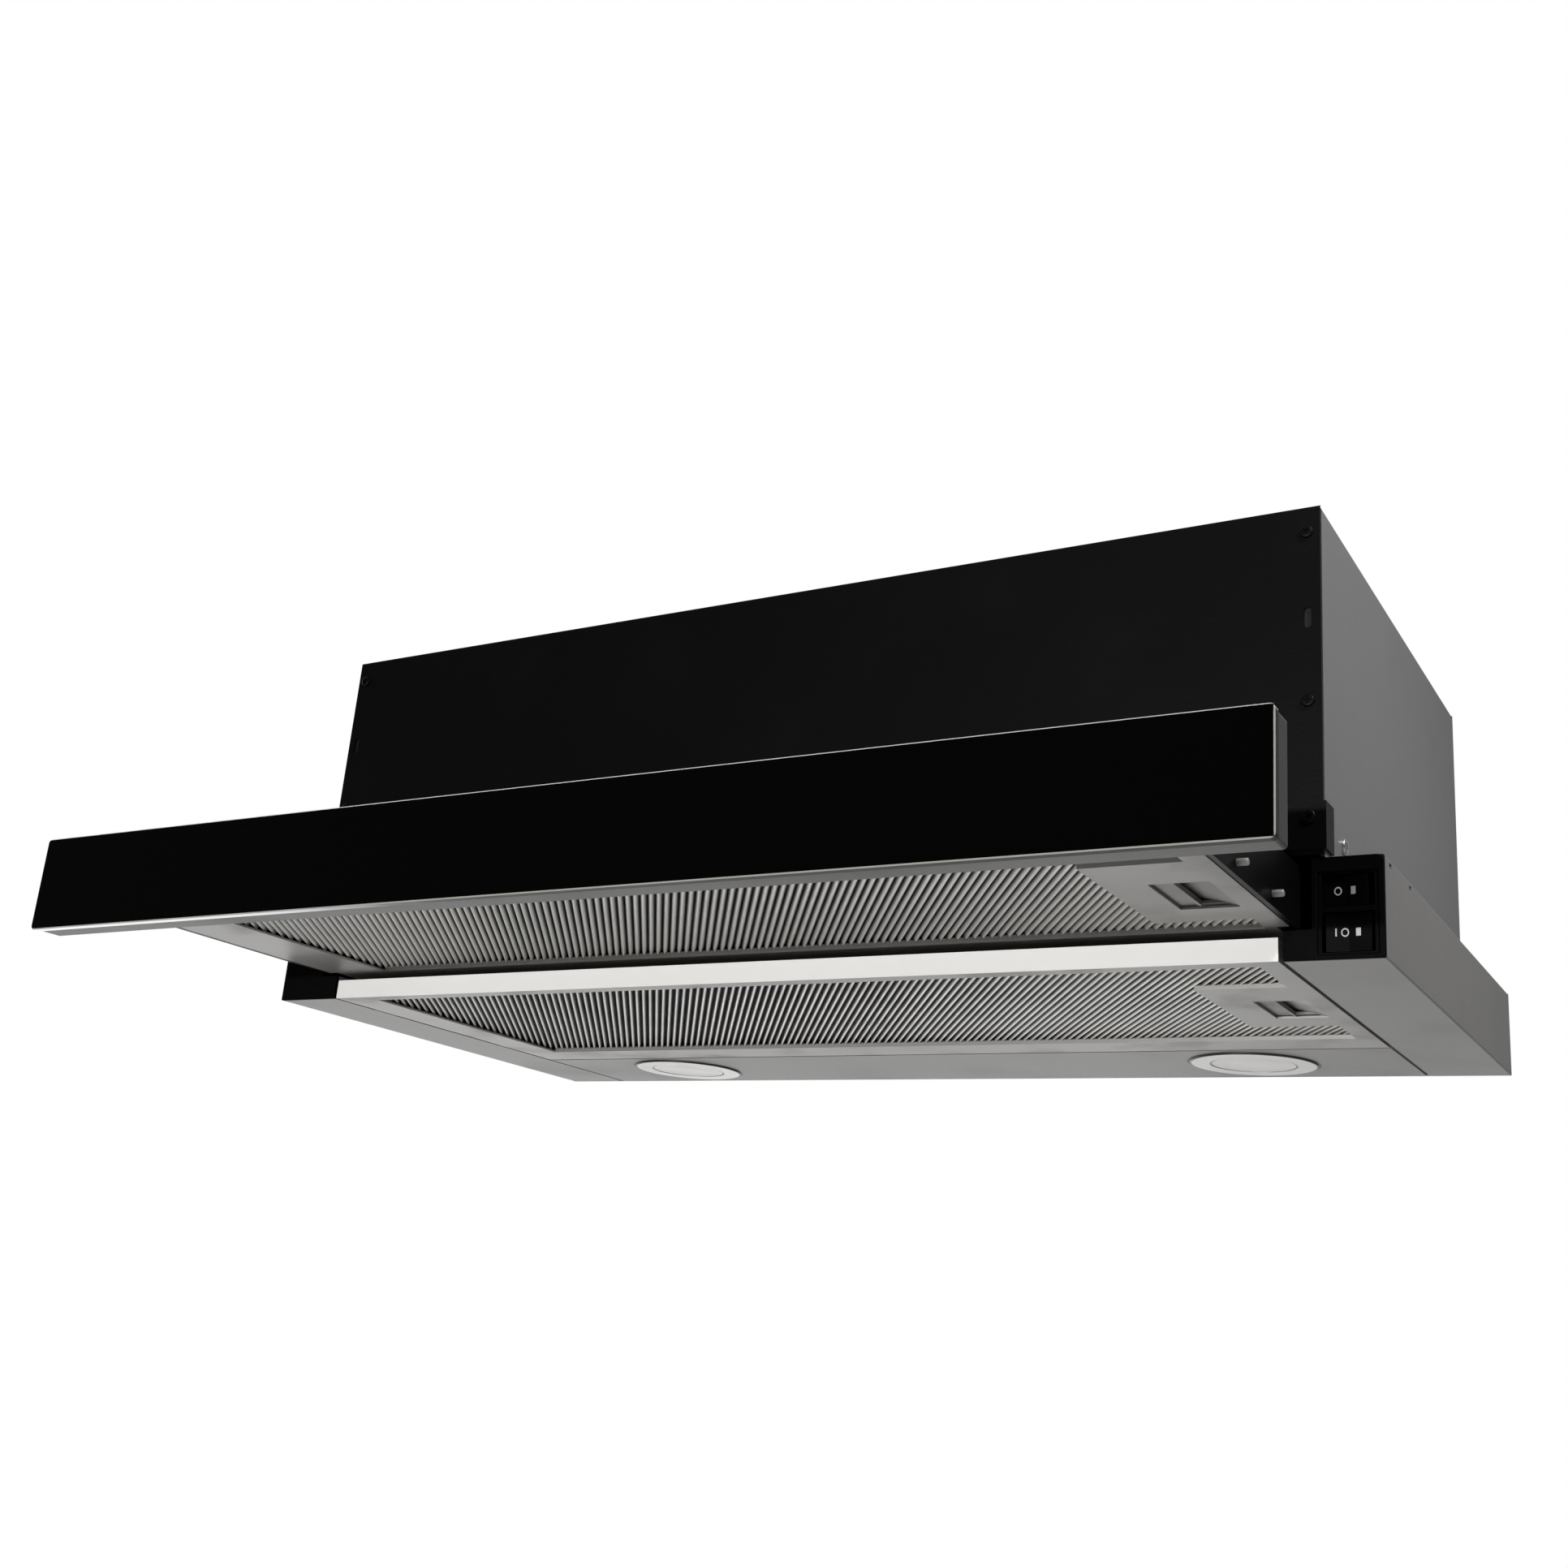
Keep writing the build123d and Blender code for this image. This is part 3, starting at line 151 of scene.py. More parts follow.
class Recipe:
    """One material's node tree."""

    def __init__(self, name: str) -> None:
        """Start an empty material with a Principled shader."""
        self.material = bpy.data.materials.new(name)
        self.material.use_nodes = True
        self.tree = self.material.node_tree
        self.tree.nodes.clear()
        self.shader = self.tree.nodes.new("ShaderNodeBsdfPrincipled")
        output = self.tree.nodes.new("ShaderNodeOutputMaterial")
        self.tree.links.new(self.shader.outputs["BSDF"], output.inputs["Surface"])

    def node(self, kind: str, settings: dict, inputs: dict, output: str | int = 0) -> Wire:
        """Add a node.

        Args:
            kind: The node's type name.
            settings: Attributes of the node.
            inputs: Values or wires by socket name or number.
            output: Which output to return.

        Returns:
            The chosen output.
        """
        made = self.tree.nodes.new(kind)
        for key, value in settings.items():
            setattr(made, key, value)
        for key, value in inputs.items():
            if isinstance(value, Wire):
                self.tree.links.new(value.socket, made.inputs[key])
            else:
                made.inputs[key].default_value = value
        return Wire(self, made.outputs[output])

    def here(self) -> Wire:
        """The point on the piece, in metres."""
        return self.node("ShaderNodeTexCoord", {}, {}, "Object")

    def axis(self, index: int) -> Wire:
        """One coordinate of the point on the piece."""
        return self.node("ShaderNodeSeparateXYZ", {}, {0: self.here()}, index)

    def stretched(self, scale: Point, turn: float = 0.0) -> Wire:
        """The point on the piece, scaled per axis and turned about the upright axis."""
        inputs = {"Vector": self.here(), "Scale": scale, "Rotation": (0.0, 0.0, turn)}
        return self.node("ShaderNodeMapping", {}, inputs)

    def noise(self, scale: float, detail: float = 3.0, where: Wire | None = None) -> Wire:
        """Soft noise from 0 to 1."""
        inputs = {"Vector": where or self.here(), "Scale": scale, "Detail": detail}
        return self.node("ShaderNodeTexNoise", {}, inputs, "Fac")

    def from_upright(self, across: float, along: float) -> Wire:
        """Distance from an upright line through a point."""
        flat = self.node("ShaderNodeCombineXYZ", {}, {0: self.axis(0), 1: self.axis(1)})
        return self.distance(flat, (across, along, 0.0))

    def distance(self, first: Wire, second: Point) -> Wire:
        """Distance between a point and a fixed place."""
        return self.node("ShaderNodeVectorMath", {"operation": "DISTANCE"}, {0: first, 1: second}, "Value")

    def cells(self, scale: float, where: Wire | None = None) -> Wire:
        """Distance to the nearest of many scattered points."""
        inputs = {"Vector": where or self.here(), "Scale": scale}
        return self.node("ShaderNodeTexVoronoi", {}, inputs, "Distance")

    def blend(self, amount: "Wire | float", first: "Wire | Colour", second: "Wire | Colour") -> Wire:
        """Mix two colours by an amount."""
        inputs = {0: amount}
        for place, colour in ((6, first), (7, second)):
            inputs[place] = colour if isinstance(colour, Wire) else (*colour, 1.0)
        return self.node("ShaderNodeMix", {"data_type": "RGBA"}, inputs, 2)

    def bump(self, height: Wire, distance: float, strength: float = 1.0) -> None:
        """Drive the shader's normal with a height in metres times distance."""
        inputs = {"Height": height, "Distance": distance, "Strength": strength}
        self.set(Normal=self.node("ShaderNodeBump", {}, inputs))

    def set(self, **sockets: "Wire | float | Colour") -> None:
        """Set the shader's sockets by name, with underscores for spaces."""
        for name, value in sockets.items():
            target = self.shader.inputs[name.replace("_", " ")]
            if isinstance(value, Wire):
                self.tree.links.new(value.socket, target)
            elif isinstance(value, tuple):
                target.default_value = (*value, 1.0)
            else:
                target.default_value = value


# ---- Finishes -------------------------------------------------------------------------------
@dataclass(frozen=True)
class SheetPaint:
    """Sprayed paint on folded sheet: faint orange peel, dust specks, handling marks and optional painted
    shadow rings.
    """

    name: str
    colour: Colour
    roughness: float
    specular: float = 0.5
    metallic: float = 0.0
    peel: float = 0.00004
    dust: float = 0.03
    black_before: float | None = None
    seams: tuple[Point, ...] = ()
    shadow_ring_width: float = 0.9 * MM

    def material(self) -> bpy.types.Material:
        """Build the paint."""
        recipe = Recipe(self.name)
        cloud = recipe.noise(scale=6.0, detail=3.0)
        specks = recipe.noise(scale=900.0, detail=2.0).ramp(low=0.60, high=0.78)
        smears = recipe.noise(scale=18.0, detail=4.0).ramp(low=0.45, high=0.80)
        darker = tuple(value * (1.0 - self.dust) for value in self.colour)
        lighter = tuple(min(1.0, value * (1.0 + self.dust)) for value in self.colour)
        base = recipe.blend(cloud, darker, lighter)
        base = recipe.blend(specks * 0.25, base, lighter)
        if self.black_before is not None:
            base = recipe.blend(recipe.axis(1) < self.black_before, base, EDGE_BLACK)
        # painted shadow: a thin dark ring round each listed centre, where a gap's shade would fall
        for across, along, radius in self.seams:
            away = recipe.from_upright(across, along)
            base = recipe.blend(abs(away - radius) < self.shadow_ring_width, base, SHADOW_RING_DARK)
        recipe.set(Base_Color=base, Metallic=self.metallic,
                   Roughness=self.roughness + smears * 0.05 + specks * 0.04 - 0.03,
                   Specular_IOR_Level=self.specular)
        recipe.bump(recipe.noise(520.0, 2.0) + recipe.noise(1500.0, 1.0) * 0.35, self.peel)
        return recipe.material


@dataclass(frozen=True)
class MouldedPlastic:
    """Injection moulded plastic with fine spark grain and rubbed patches."""

    name: str
    colour: Colour
    roughness: float
    grain: float = 0.00006
    specular: float = 0.4

    def material(self) -> bpy.types.Material:
        """Build the plastic."""
        recipe = Recipe(self.name)
        rubbed = recipe.noise(scale=45.0, detail=4.0).ramp(low=0.42, high=0.72)
        pits = recipe.cells(2600.0)
        worn = tuple(value * 1.3 + 0.0006 for value in self.colour)
        recipe.set(Base_Color=recipe.blend(rubbed * 0.5, self.colour, worn),
                   Roughness=self.roughness - rubbed * 0.09 + pits * 0.06, Specular_IOR_Level=self.specular)
        recipe.bump(pits + recipe.noise(scale=700.0, detail=2.0) * 0.4, self.grain)
        return recipe.material


class Grain(Enum):
    """Which way a rolled or brushed metal's lines run."""

    ALONG_X = (1.0, 60.0, 60.0)
    ALONG_Y = (60.0, 1.0, 60.0)
    SPANGLE = (1.0, 1.0, 1.0)


@dataclass(frozen=True)
class BareMetal:
    """Bare or plated metal with rolling lines, or zinc spangle, and slightly duller patches."""

    name: str
    colour: Colour
    roughness: float
    grain: Grain
    metallic: float = 1.0
    line_scale: float = 26.0
    line_depth: float = 0.00002

    def material(self) -> bpy.types.Material:
        """Build the metal."""
        recipe = Recipe(self.name)
        if self.grain is Grain.SPANGLE:
            lines = recipe.node("ShaderNodeTexVoronoi", {}, {"Vector": recipe.here(), "Scale": 95.0}, "Color")
            lines = recipe.node("ShaderNodeSeparateColor", {}, {0: lines})
        else:
            lines = recipe.noise(self.line_scale, 6.0, recipe.stretched(self.grain.value))
        patches = recipe.noise(scale=14.0, detail=4.0)
        dull = tuple(value * 0.84 for value in self.colour)
        bright = tuple(min(1.0, value * 1.1) for value in self.colour)
        recipe.set(Base_Color=recipe.blend(lines * 0.55 + patches * 0.35, dull, bright),
                   Metallic=self.metallic,
                   Roughness=self.roughness + patches * 0.12 - 0.06 + lines * 0.05)
        recipe.bump(lines + recipe.noise(scale=420.0, detail=2.0) * 0.2, self.line_depth)
        return recipe.material


@dataclass(frozen=True)
class FilterFoil:
    """The filters' pressed aluminium frame: rolled lines, with a painted highlight that whitens the front
    lip.
    """

    name: str
    colour: Colour
    lip_highlight_colour: Colour
    lip_from: float
    roughness: float = 0.42
    metallic: float = 0.55

    def material(self) -> bpy.types.Material:
        """Build the foil."""
        recipe = Recipe(self.name)
        lines = recipe.noise(22.0, 6.0, recipe.stretched(Grain.ALONG_X.value))
        prints = recipe.noise(scale=32.0, detail=5.0).ramp(low=0.48, high=0.70)
        dull = tuple(value * 0.93 for value in self.colour)
        body = recipe.blend(lines, dull, self.colour)
        # painted highlight: the lip in front of lip_from is painted near-white and non-metallic to stand in
        # for the front light on it
        lip_highlight = recipe.axis(1) < self.lip_from
        recipe.set(Base_Color=recipe.blend(lip_highlight, body, self.lip_highlight_colour),
                   Metallic=self.metallic * (1.0 - lip_highlight),
                   Roughness=self.roughness + prints * 0.10 + lines * 0.06 - 0.05)
        recipe.bump(lines * 0.6 + recipe.noise(scale=600.0, detail=2.0) * 0.4, 0.00003)
        return recipe.material


@dataclass(frozen=True)
class PleatedMesh:
    """Expanded aluminium mesh: bright strands round small dark diamonds, with painted shade darkening the
    pleats from crest to root.
    """

    name: str
    strand: Colour
    hole: Colour
    crest: float
    root: float
    pitch: float = 1.1 * MM
    turn: float = 0.0

    def material(self) -> bpy.types.Material:
        """Build the mesh."""
        recipe = Recipe(self.name)
        point = recipe.stretched((1.0, 1.0, 1.0), self.turn)
        across = recipe.node("ShaderNodeSeparateXYZ", {}, {0: point}, 0)
        along = recipe.node("ShaderNodeSeparateXYZ", {}, {0: point}, 1)
        turns = 2.0 * math.pi / self.pitch
        first = ((across * 0.9 + along * 0.55) * turns).sine()
        second = ((across * 0.9 - along * 0.55) * turns).sine()
        diamond = (abs(first * second)).ramp(low=0.30, high=0.75)
        oily = recipe.noise(scale=30.0, detail=4.0).ramp(low=0.45, high=0.75)
        # painted shade: the mesh darkens from crest to root to stand in for the shade in the pleats' grooves
        depth = recipe.axis(2).ramp(self.crest, self.root)
        woven = recipe.blend(diamond * 0.45, self.strand, self.hole)
        recipe.set(Base_Color=recipe.blend(depth, woven, tuple(value * 0.06 for value in self.hole)),
                   Metallic=0.35, Roughness=0.42 + oily * 0.10 + diamond * 0.12, Specular_IOR_Level=0.3)
        recipe.bump(1.0 - diamond, 0.00012, 0.7)
        return recipe.material


@dataclass(frozen=True)
class BlackGlass:
    """Back-painted tempered glass with a painted highlight on its polished arris all round."""

    name: str
    half_width: float
    height: Span
    face: float
    body: Colour = (0.0010, 0.0010, 0.0011)
    # edge: the painted highlight colour of the arris
    edge: Colour = (0.42, 0.42, 0.38)
    arris: float = 0.5 * MM

    def material(self) -> bpy.types.Material:
        """Build the glass."""
        recipe = Recipe(self.name)
        side = abs(recipe.axis(0)) > self.half_width - self.arris
        middle = sum(self.height) / 2.0
        rise = abs(recipe.axis(2) - middle) > (self.height[1] - self.height[0]) / 2.0 - self.arris
        # painted highlight: the arris of the front face is painted pale
        painted_rim = (side + rise).ramp(low=0.2, high=0.8) * (recipe.axis(1) < self.face + self.arris)
        wiped = recipe.noise(16.0, 5.0, recipe.stretched((1.0, 1.0, 2.5))).ramp(low=0.45, high=0.80)
        recipe.set(Base_Color=recipe.blend(painted_rim, self.body, self.edge),
                   Roughness=0.06 + wiped * 0.05 + painted_rim * 0.25, Specular_IOR_Level=0.30)
        recipe.bump(recipe.noise(scale=60.0, detail=2.0), 0.000003)
        return recipe.material


@dataclass(frozen=True)
class FrostedLens:
    """A lamp's frosted cover with shallow moulded rings and a painted shadow ring round its edge."""

    name: str
    colour: Colour
    centres: tuple[Point, ...]
    shadow_rim_from: float
    shadow_rim_colour: Colour = (0.05, 0.05, 0.05)
    ring_pitch: float = 1.6 * MM

    def material(self) -> bpy.types.Material:
        """Build the lens."""
        recipe = Recipe(self.name)
        nearest: Wire | None = None
        for centre in self.centres:
            place = recipe.distance(recipe.here(), centre)
            nearest = place if nearest is None else nearest.least(place)
        rings = (nearest * (2.0 * math.pi / self.ring_pitch)).sine()
        warm = nearest.ramp(low=0.002, high=0.020)
        pale = tuple(min(1.0, value * 1.08) for value in self.colour)
        # painted shadow: a dark ring where the lens meets its bezel
        painted_rim = nearest > self.shadow_rim_from
        lit = recipe.blend(warm, pale, self.colour)
        recipe.set(Base_Color=recipe.blend(painted_rim, lit, self.shadow_rim_colour), Roughness=0.34 + rings * 0.04,
                   Specular_IOR_Level=0.45)
        recipe.bump(rings + recipe.noise(scale=800.0, detail=2.0) * 0.4, 0.00004)
        return recipe.material


# ---- Modelling helpers ----------------------------------------------------------------------
def wake(piece: bpy.types.Object) -> None:
    """Make one object the only selected and active one."""
    bpy.ops.object.select_all(action="DESELECT")
    piece.select_set(True)
    bpy.context.view_layer.objects.active = piece


def named(name: str) -> bpy.types.Object:
    """Name the new active object and its mesh, and return it."""
    piece = bpy.context.active_object
    piece.name = name
    piece.data.name = name
    return piece


def pick(piece: bpy.types.Object, mode: str, test: Callable[[bmesh.types.BMVert], bool]) -> None:
    """Select elements in edit mode by a test.

    Args:
        piece: The object being edited.
        mode: VERT, EDGE or FACE.
        test: Whether to select an element.
    """
    bpy.ops.mesh.select_mode(type=mode)
    bpy.ops.mesh.select_all(action="DESELECT")
    grid = bmesh.from_edit_mesh(piece.data)
    parts = {"VERT": grid.verts, "EDGE": grid.edges, "FACE": grid.faces}[mode]
    for part in filter(test, parts):
        part.select = True
    grid.select_flush_mode()
    bmesh.update_edit_mesh(piece.data)


def finish_with(piece: bpy.types.Object, kind: str, **settings: object) -> None:
    """Add a modifier to a piece and apply it."""
    wake(piece)
    modifier = piece.modifiers.new(kind.lower(), kind)
    for key, value in settings.items():
        setattr(modifier, key, value)
    bpy.ops.object.modifier_apply(modifier=modifier.name)


def settle(piece: bpy.types.Object) -> None:
    """Put a piece's place, turn and size into its mesh and mend its normals."""
    wake(piece)
    bpy.ops.object.transform_apply(location=True, rotation=True, scale=True)
    bpy.ops.object.mode_set(mode="EDIT")
    bpy.ops.mesh.select_all(action="SELECT")
    bpy.ops.mesh.remove_doubles(threshold=TOUCH)
    bpy.ops.mesh.normals_make_consistent(inside=False)
    bpy.ops.object.mode_set(mode="OBJECT")


def block(name: str, size: Point, middle: Point = (0.0, 0.0, 0.0), turn: float = 0.0) -> bpy.types.Object:
    """Add a box round a middle, turned about the upright axis."""
    bpy.ops.object.select_all(action="DESELECT")
    bpy.ops.mesh.primitive_cube_add(size=1.0, location=middle, rotation=(0.0, 0.0, turn), scale=size)
    return named(name)


def smooth(piece: bpy.types.Object, degrees: float = 35.0) -> None:
    """Shade a piece smooth where its faces meet at less than an angle."""
    wake(piece)
    bpy.ops.object.shade_smooth_by_angle(angle=math.radians(degrees))


def copy_to(model: bpy.types.Object, matrix: Matrix) -> bpy.types.Object:
    """Copy a model, with its own mesh, to a place."""
    twin = model.copy()
    twin.data = model.data.copy()
    bpy.context.collection.objects.link(twin)
    twin.matrix_world = matrix
    return twin


def join(pieces: Sequence[bpy.types.Object], name: str) -> bpy.types.Object:
    """Join pieces into one object with its place in its mesh."""
    for piece in pieces:
        wake(piece)
        bpy.ops.object.transform_apply(location=True, rotation=True, scale=True)
    bpy.ops.object.select_all(action="DESELECT")
    for piece in pieces:
        piece.select_set(True)
    bpy.context.view_layer.objects.active = pieces[0]
    if len(pieces) > 1:
        bpy.ops.object.join()
    return named(name)


def coat(piece: bpy.types.Object, material: bpy.types.Material) -> None:
    """Give a piece one material."""
    piece.data.materials.clear()
    piece.data.materials.append(material)


def facing(origin: Point, direction: Point, roll: float = 0.0) -> Matrix:
    """A place whose local Z looks along a direction."""
    turn = Vector(direction).to_track_quat("Z", "Y").to_matrix().to_4x4()
    return Matrix.Translation(origin) @ turn @ Matrix.Rotation(roll, 4, "Z")


class Workshop:
    """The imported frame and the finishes, shared by all sub-assemblies."""

    def __init__(self, frame: dict) -> None:
        """Hold the frame and make each finish once."""
        self.nodes: dict[str, bpy.types.Object] = frame["nodes"]
        self.made: dict[str, bpy.types.Material] = {}

    def material(self, finish: object) -> bpy.types.Material:
        """The material of a finish, made the first time it is asked for."""
        if finish.name not in self.made:
            self.made[finish.name] = finish.material()
        return self.made[finish.name]

    def dress(self, finish: object, *nodes: str) -> None:
        """Give CAD nodes a finish."""
        for node in nodes:
            piece = self.nodes[node]
            if not piece.material_slots:
                piece.data.materials.append(None)
            for slot in piece.material_slots:
                slot.material = self.material(finish)
            LOG.info("dressed %s in %s", node, finish.name)

    def soften(self, width: float, *nodes: str) -> None:
        """Round the sharp edges of CAD nodes with live modifiers.

        Args:
            width: The edge radius in metres.
            nodes: The nodes to round.
        """
        for node in nodes:
            piece = self.nodes[node]
            weld = piece.modifiers.new("weld", "WELD")
            weld.merge_threshold = TOUCH
            flat = piece.modifiers.new("flat", "DECIMATE")
            flat.decimate_type = "DISSOLVE"
            flat.angle_limit = math.radians(FLAT_DEGREES)
            bevel = piece.modifiers.new("bevel", "BEVEL")
            bevel.width = width
            bevel.segments = 2
            bevel.limit_method = "ANGLE"
            bevel.angle_limit = math.radians(EDGE_DEGREES)
            bevel.harden_normals = True

    def place(self, piece: bpy.types.Object, body: str, slot: str, finish: object, *replaced: str) -> None:
        """Dress a new piece and hang it on its body.

        Args:
            piece: The new piece.
            body: The body it rides on.
            slot: The record's material slot; not used.
            finish: Its finish.
            replaced: The CAD nodes that it stands for.
        """
        coat(piece, self.material(finish))
        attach(piece, body)
        if replaced:
            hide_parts(*replaced)
        LOG.info("placed %s on %s", piece.name, body)


# ---- Finishes of this hood ------------------------------------------------------------------
GREY: Colour = (0.250, 0.243, 0.240)
SHELL_GREY: Colour = (0.215, 0.212, 0.213)
BLACK_PAINT = SheetPaint("black_paint", (0.0030, 0.0029, 0.0028), 0.42, specular=0.12,
                         peel=0.00005, dust=0.25)
SILVER_FRAME = SheetPaint("silver_frame", (0.080, 0.0785, 0.0755), 0.44, specular=0.3, metallic=0.3,
                          peel=0.00002, dust=0.05)
CAP_PLASTIC = MouldedPlastic("cap_plastic", (0.0013, 0.0013, 0.0014), 0.62, specular=0.05)
ROCKER_PLASTIC = MouldedPlastic("rocker_plastic", (0.0018, 0.0018, 0.0019), 0.36, grain=0.00002,
                                specular=0.06)
CASING_PLASTIC = MouldedPlastic("casing_plastic", (0.020, 0.020, 0.021), 0.55)
PALE_PLASTIC = MouldedPlastic("pale_plastic", (0.62, 0.61, 0.58), 0.45)
MARK_PAINT = MouldedPlastic("mark_paint", (0.46, 0.46, 0.45), 0.55, grain=0.00001)
ZINC = BareMetal("zinc_plate", (0.60, 0.61, 0.62), 0.40, Grain.SPANGLE)
SCREW_STEEL = BareMetal("screw_steel", (0.66, 0.66, 0.65), 0.30, Grain.ALONG_X, line_scale=90.0)
PALE_ZINC = BareMetal("pale_zinc", (0.42, 0.42, 0.41), 0.42, Grain.ALONG_X, metallic=0.4)
MOTOR_STEEL = BareMetal("motor_steel", (0.42, 0.42, 0.43), 0.38, Grain.ALONG_Y)
FOIL: Colour = (0.32, 0.312, 0.30)
# painted highlight colour for the fixed filter's front lip
LIP_HIGHLIGHT: Colour = (0.92, 0.905, 0.885)
# painted shade: the latch is darker than the frame foil to stand in for the shade in its recess
LATCH_SHADE_COLOUR: Colour = (0.21, 0.204, 0.197)
NO_LIP = -1.0
SHADED_LATCH_FOIL = FilterFoil("latch_painted_shade", LATCH_SHADE_COLOUR, LATCH_SHADE_COLOUR, lip_from=NO_LIP)
MESH_STRAND: Colour = (0.97, 0.955, 0.93)
MESH_HOLE: Colour = (0.26, 0.25, 0.24)
MESH_TURN = math.radians(34.6)
LIP_DEPTH = 0.6 * MM


def grey_paint(name: str, colour: Colour = GREY, **details: object) -> SheetPaint:
    """The hood's grey paint, under a name of its own."""
    return SheetPaint(name, colour, 0.46, metallic=0.15, **details)


# ---- Sub-assemblies -------------------------------------------------------------------------
@dataclass
class GreaseFilter:
    """One washable filter: pressed frame, pleated mesh pack, latch and spring."""

    shop: Workshop
    name: str
    lip_from: float
    groove: float
    pleat_pitch: float = 3.37 * MM
    pleat_height: float = 3.3 * MM
    pleat_low: float = 1.7 * MM
    foil_thickness: float = 0.25 * MM
    crest_radius: float = 0.42 * MM
    crest_depth: float = 0.3 * MM
    panel_width: float = 50.0 * MM
    panel_before: float = 46.0 * MM
    panel_after: float = 38.0 * MM
    panel_gap: float = 1.2 * MM
    panel_lap: float = 0.2 * MM
    hem_low: float = 0.4 * MM
    hem_height: float = 4.8 * MM
    hem_sheet: float = 0.25 * MM
    coil_turns: int = 6
    coil_steps: int = 20
    wire_radius: float = 0.25 * MM

    def build(self) -> None:
        """Dress the frame and latch, and model the pleated pack and the spring."""
        foil = FilterFoil(f"{self.name}_foil", FOIL, LIP_HIGHLIGHT, self.lip_from)
        self.shop.dress(foil, f"{self.name}_frame")
        # the latch gets the darker foil, a painted shade for its recess
        self.shop.dress(SHADED_LATCH_FOIL, f"{self.name}_latch")
        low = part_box(f"{self.name}_frame")[0][2] + self.pleat_low
        mesh = PleatedMesh(f"{self.name}_mesh_foil", MESH_STRAND, MESH_HOLE, low + self.crest_depth,
                           low + self.groove, turn=-MESH_TURN)
        self.shop.place(self.pleats(), self.name, "mesh_aluminium", mesh, f"{self.name}_mesh")
        self.shop.place(self.spring(), self.name, "zinc_steel", SCREW_STEEL, f"{self.name}_spring")
        self.shop.place(self.hem(), self.name, "filter_aluminium", foil)

    def hem(self) -> bpy.types.Object:
        """The upright strips that close the pack's cut ends beside the latch panel."""
        (_, left), _ = self.regions()[0]
        _, (_, front) = self.regions()[1]
        (_, right), (back, _) = self.regions()[2]
        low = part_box(f"{self.name}_frame")[0][2] + self.hem_low
        sheet = self.hem_sheet
        spans = (((left, left + sheet), (front, back)), ((left, right), (back - sheet, back)))
        strips = []
        for x_span, y_span in spans:
            size = (x_span[1] - x_span[0], y_span[1] - y_span[0], self.hem_height)
            middle = (sum(x_span) / 2.0, sum(y_span) / 2.0, low + self.hem_height / 2.0)
            strips.append(block(f"{self.name}_strip", size, middle))
        return join(strips, f"{self.name}_hem")

    def regions(self) -> list[tuple[Span, Span]]:
        """The rectangles that the pack covers, round the latch panel."""
        low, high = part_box(f"{self.name}_mesh")
        frame_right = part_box(f"{self.name}_frame")[1][0]
        latch_low, latch_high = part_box(f"{self.name}_latch")
        latch_middle = (latch_low[1] + latch_high[1]) / 2.0
        panel_left = frame_right - self.panel_width + self.panel_lap
        panel_front = latch_middle - self.panel_before + self.panel_gap
        panel_back = latch_middle + self.panel_after - self.panel_gap
        return [((low[0], panel_left), (low[1], high[1])),
                ((panel_left, high[0]), (low[1], panel_front)),
                ((panel_left, high[0]), (panel_back, high[1]))]

    def pleats(self) -> bpy.types.Object:
        """Fold one sheet into pleats that run slantwise, then trim a copy to each region."""
        low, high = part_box(f"{self.name}_mesh")
        frame_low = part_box(f"{self.name}_frame")[0][2]
        centre = ((low[0] + high[0]) / 2.0, (low[1] + high[1]) / 2.0, frame_low + self.pleat_low)
        width, depth = high[0] - low[0], high[1] - low[1]
        across = width * math.cos(MESH_TURN) + depth * math.sin(MESH_TURN)
        along = width * math.sin(MESH_TURN) + depth * math.cos(MESH_TURN)
        folds = 2 * math.ceil(across / self.pleat_pitch)
        bpy.ops.object.select_all(action="DESELECT")
        bpy.ops.mesh.primitive_grid_add(x_subdivisions=folds, y_subdivisions=1, size=1.0)
        sheet = named(f"{self.name}_pleats")
        sheet.scale = (folds * self.pleat_pitch / 2.0, along, 1.0)
        sheet.rotation_euler = (0.0, 0.0, MESH_TURN)
        sheet.location = centre
        bpy.ops.object.mode_set(mode="EDIT")
        pick(sheet, "VERT", lambda vert: round((vert.co.x + 0.5) * folds) % 2 == 1)
        bpy.ops.transform.translate(value=(0.0, 0.0, self.pleat_height))
        bpy.ops.object.mode_set(mode="OBJECT")
        bpy.ops.object.transform_apply(location=True, rotation=True, scale=True)
        finish_with(sheet, "BEVEL", width=self.crest_radius, segments=2, limit_method="ANGLE",
                    angle_limit=math.radians(30.0), affect="EDGES")
        trimmed = [self.trim(sheet, *region) for region in self.regions()]
        bpy.data.objects.remove(sheet)
        pack = join(trimmed, f"{self.name}_pleats")
        finish_with(pack, "SOLIDIFY", thickness=self.foil_thickness, offset=0.0)
        smooth(pack, 30.0)
        return pack

    def trim(self, sheet: bpy.types.Object, x_span: Span, y_span: Span) -> bpy.types.Object:
        """Copy the pleated sheet and cut it back to a rectangle."""
        cut = copy_to(sheet, Matrix.Identity(4))
        wake(cut)
        bpy.ops.object.mode_set(mode="EDIT")
        for index, span in ((0, x_span), (1, y_span)):
            for limit, sign in zip(span, (-1.0, 1.0)):
                spot = [0.0, 0.0, 0.0]
                normal = [0.0, 0.0, 0.0]
                spot[index] = limit
                normal[index] = sign
                bpy.ops.mesh.select_all(action="SELECT")
                bpy.ops.mesh.bisect(plane_co=spot, plane_no=normal, clear_outer=True)
        bpy.ops.object.mode_set(mode="OBJECT")
        return cut

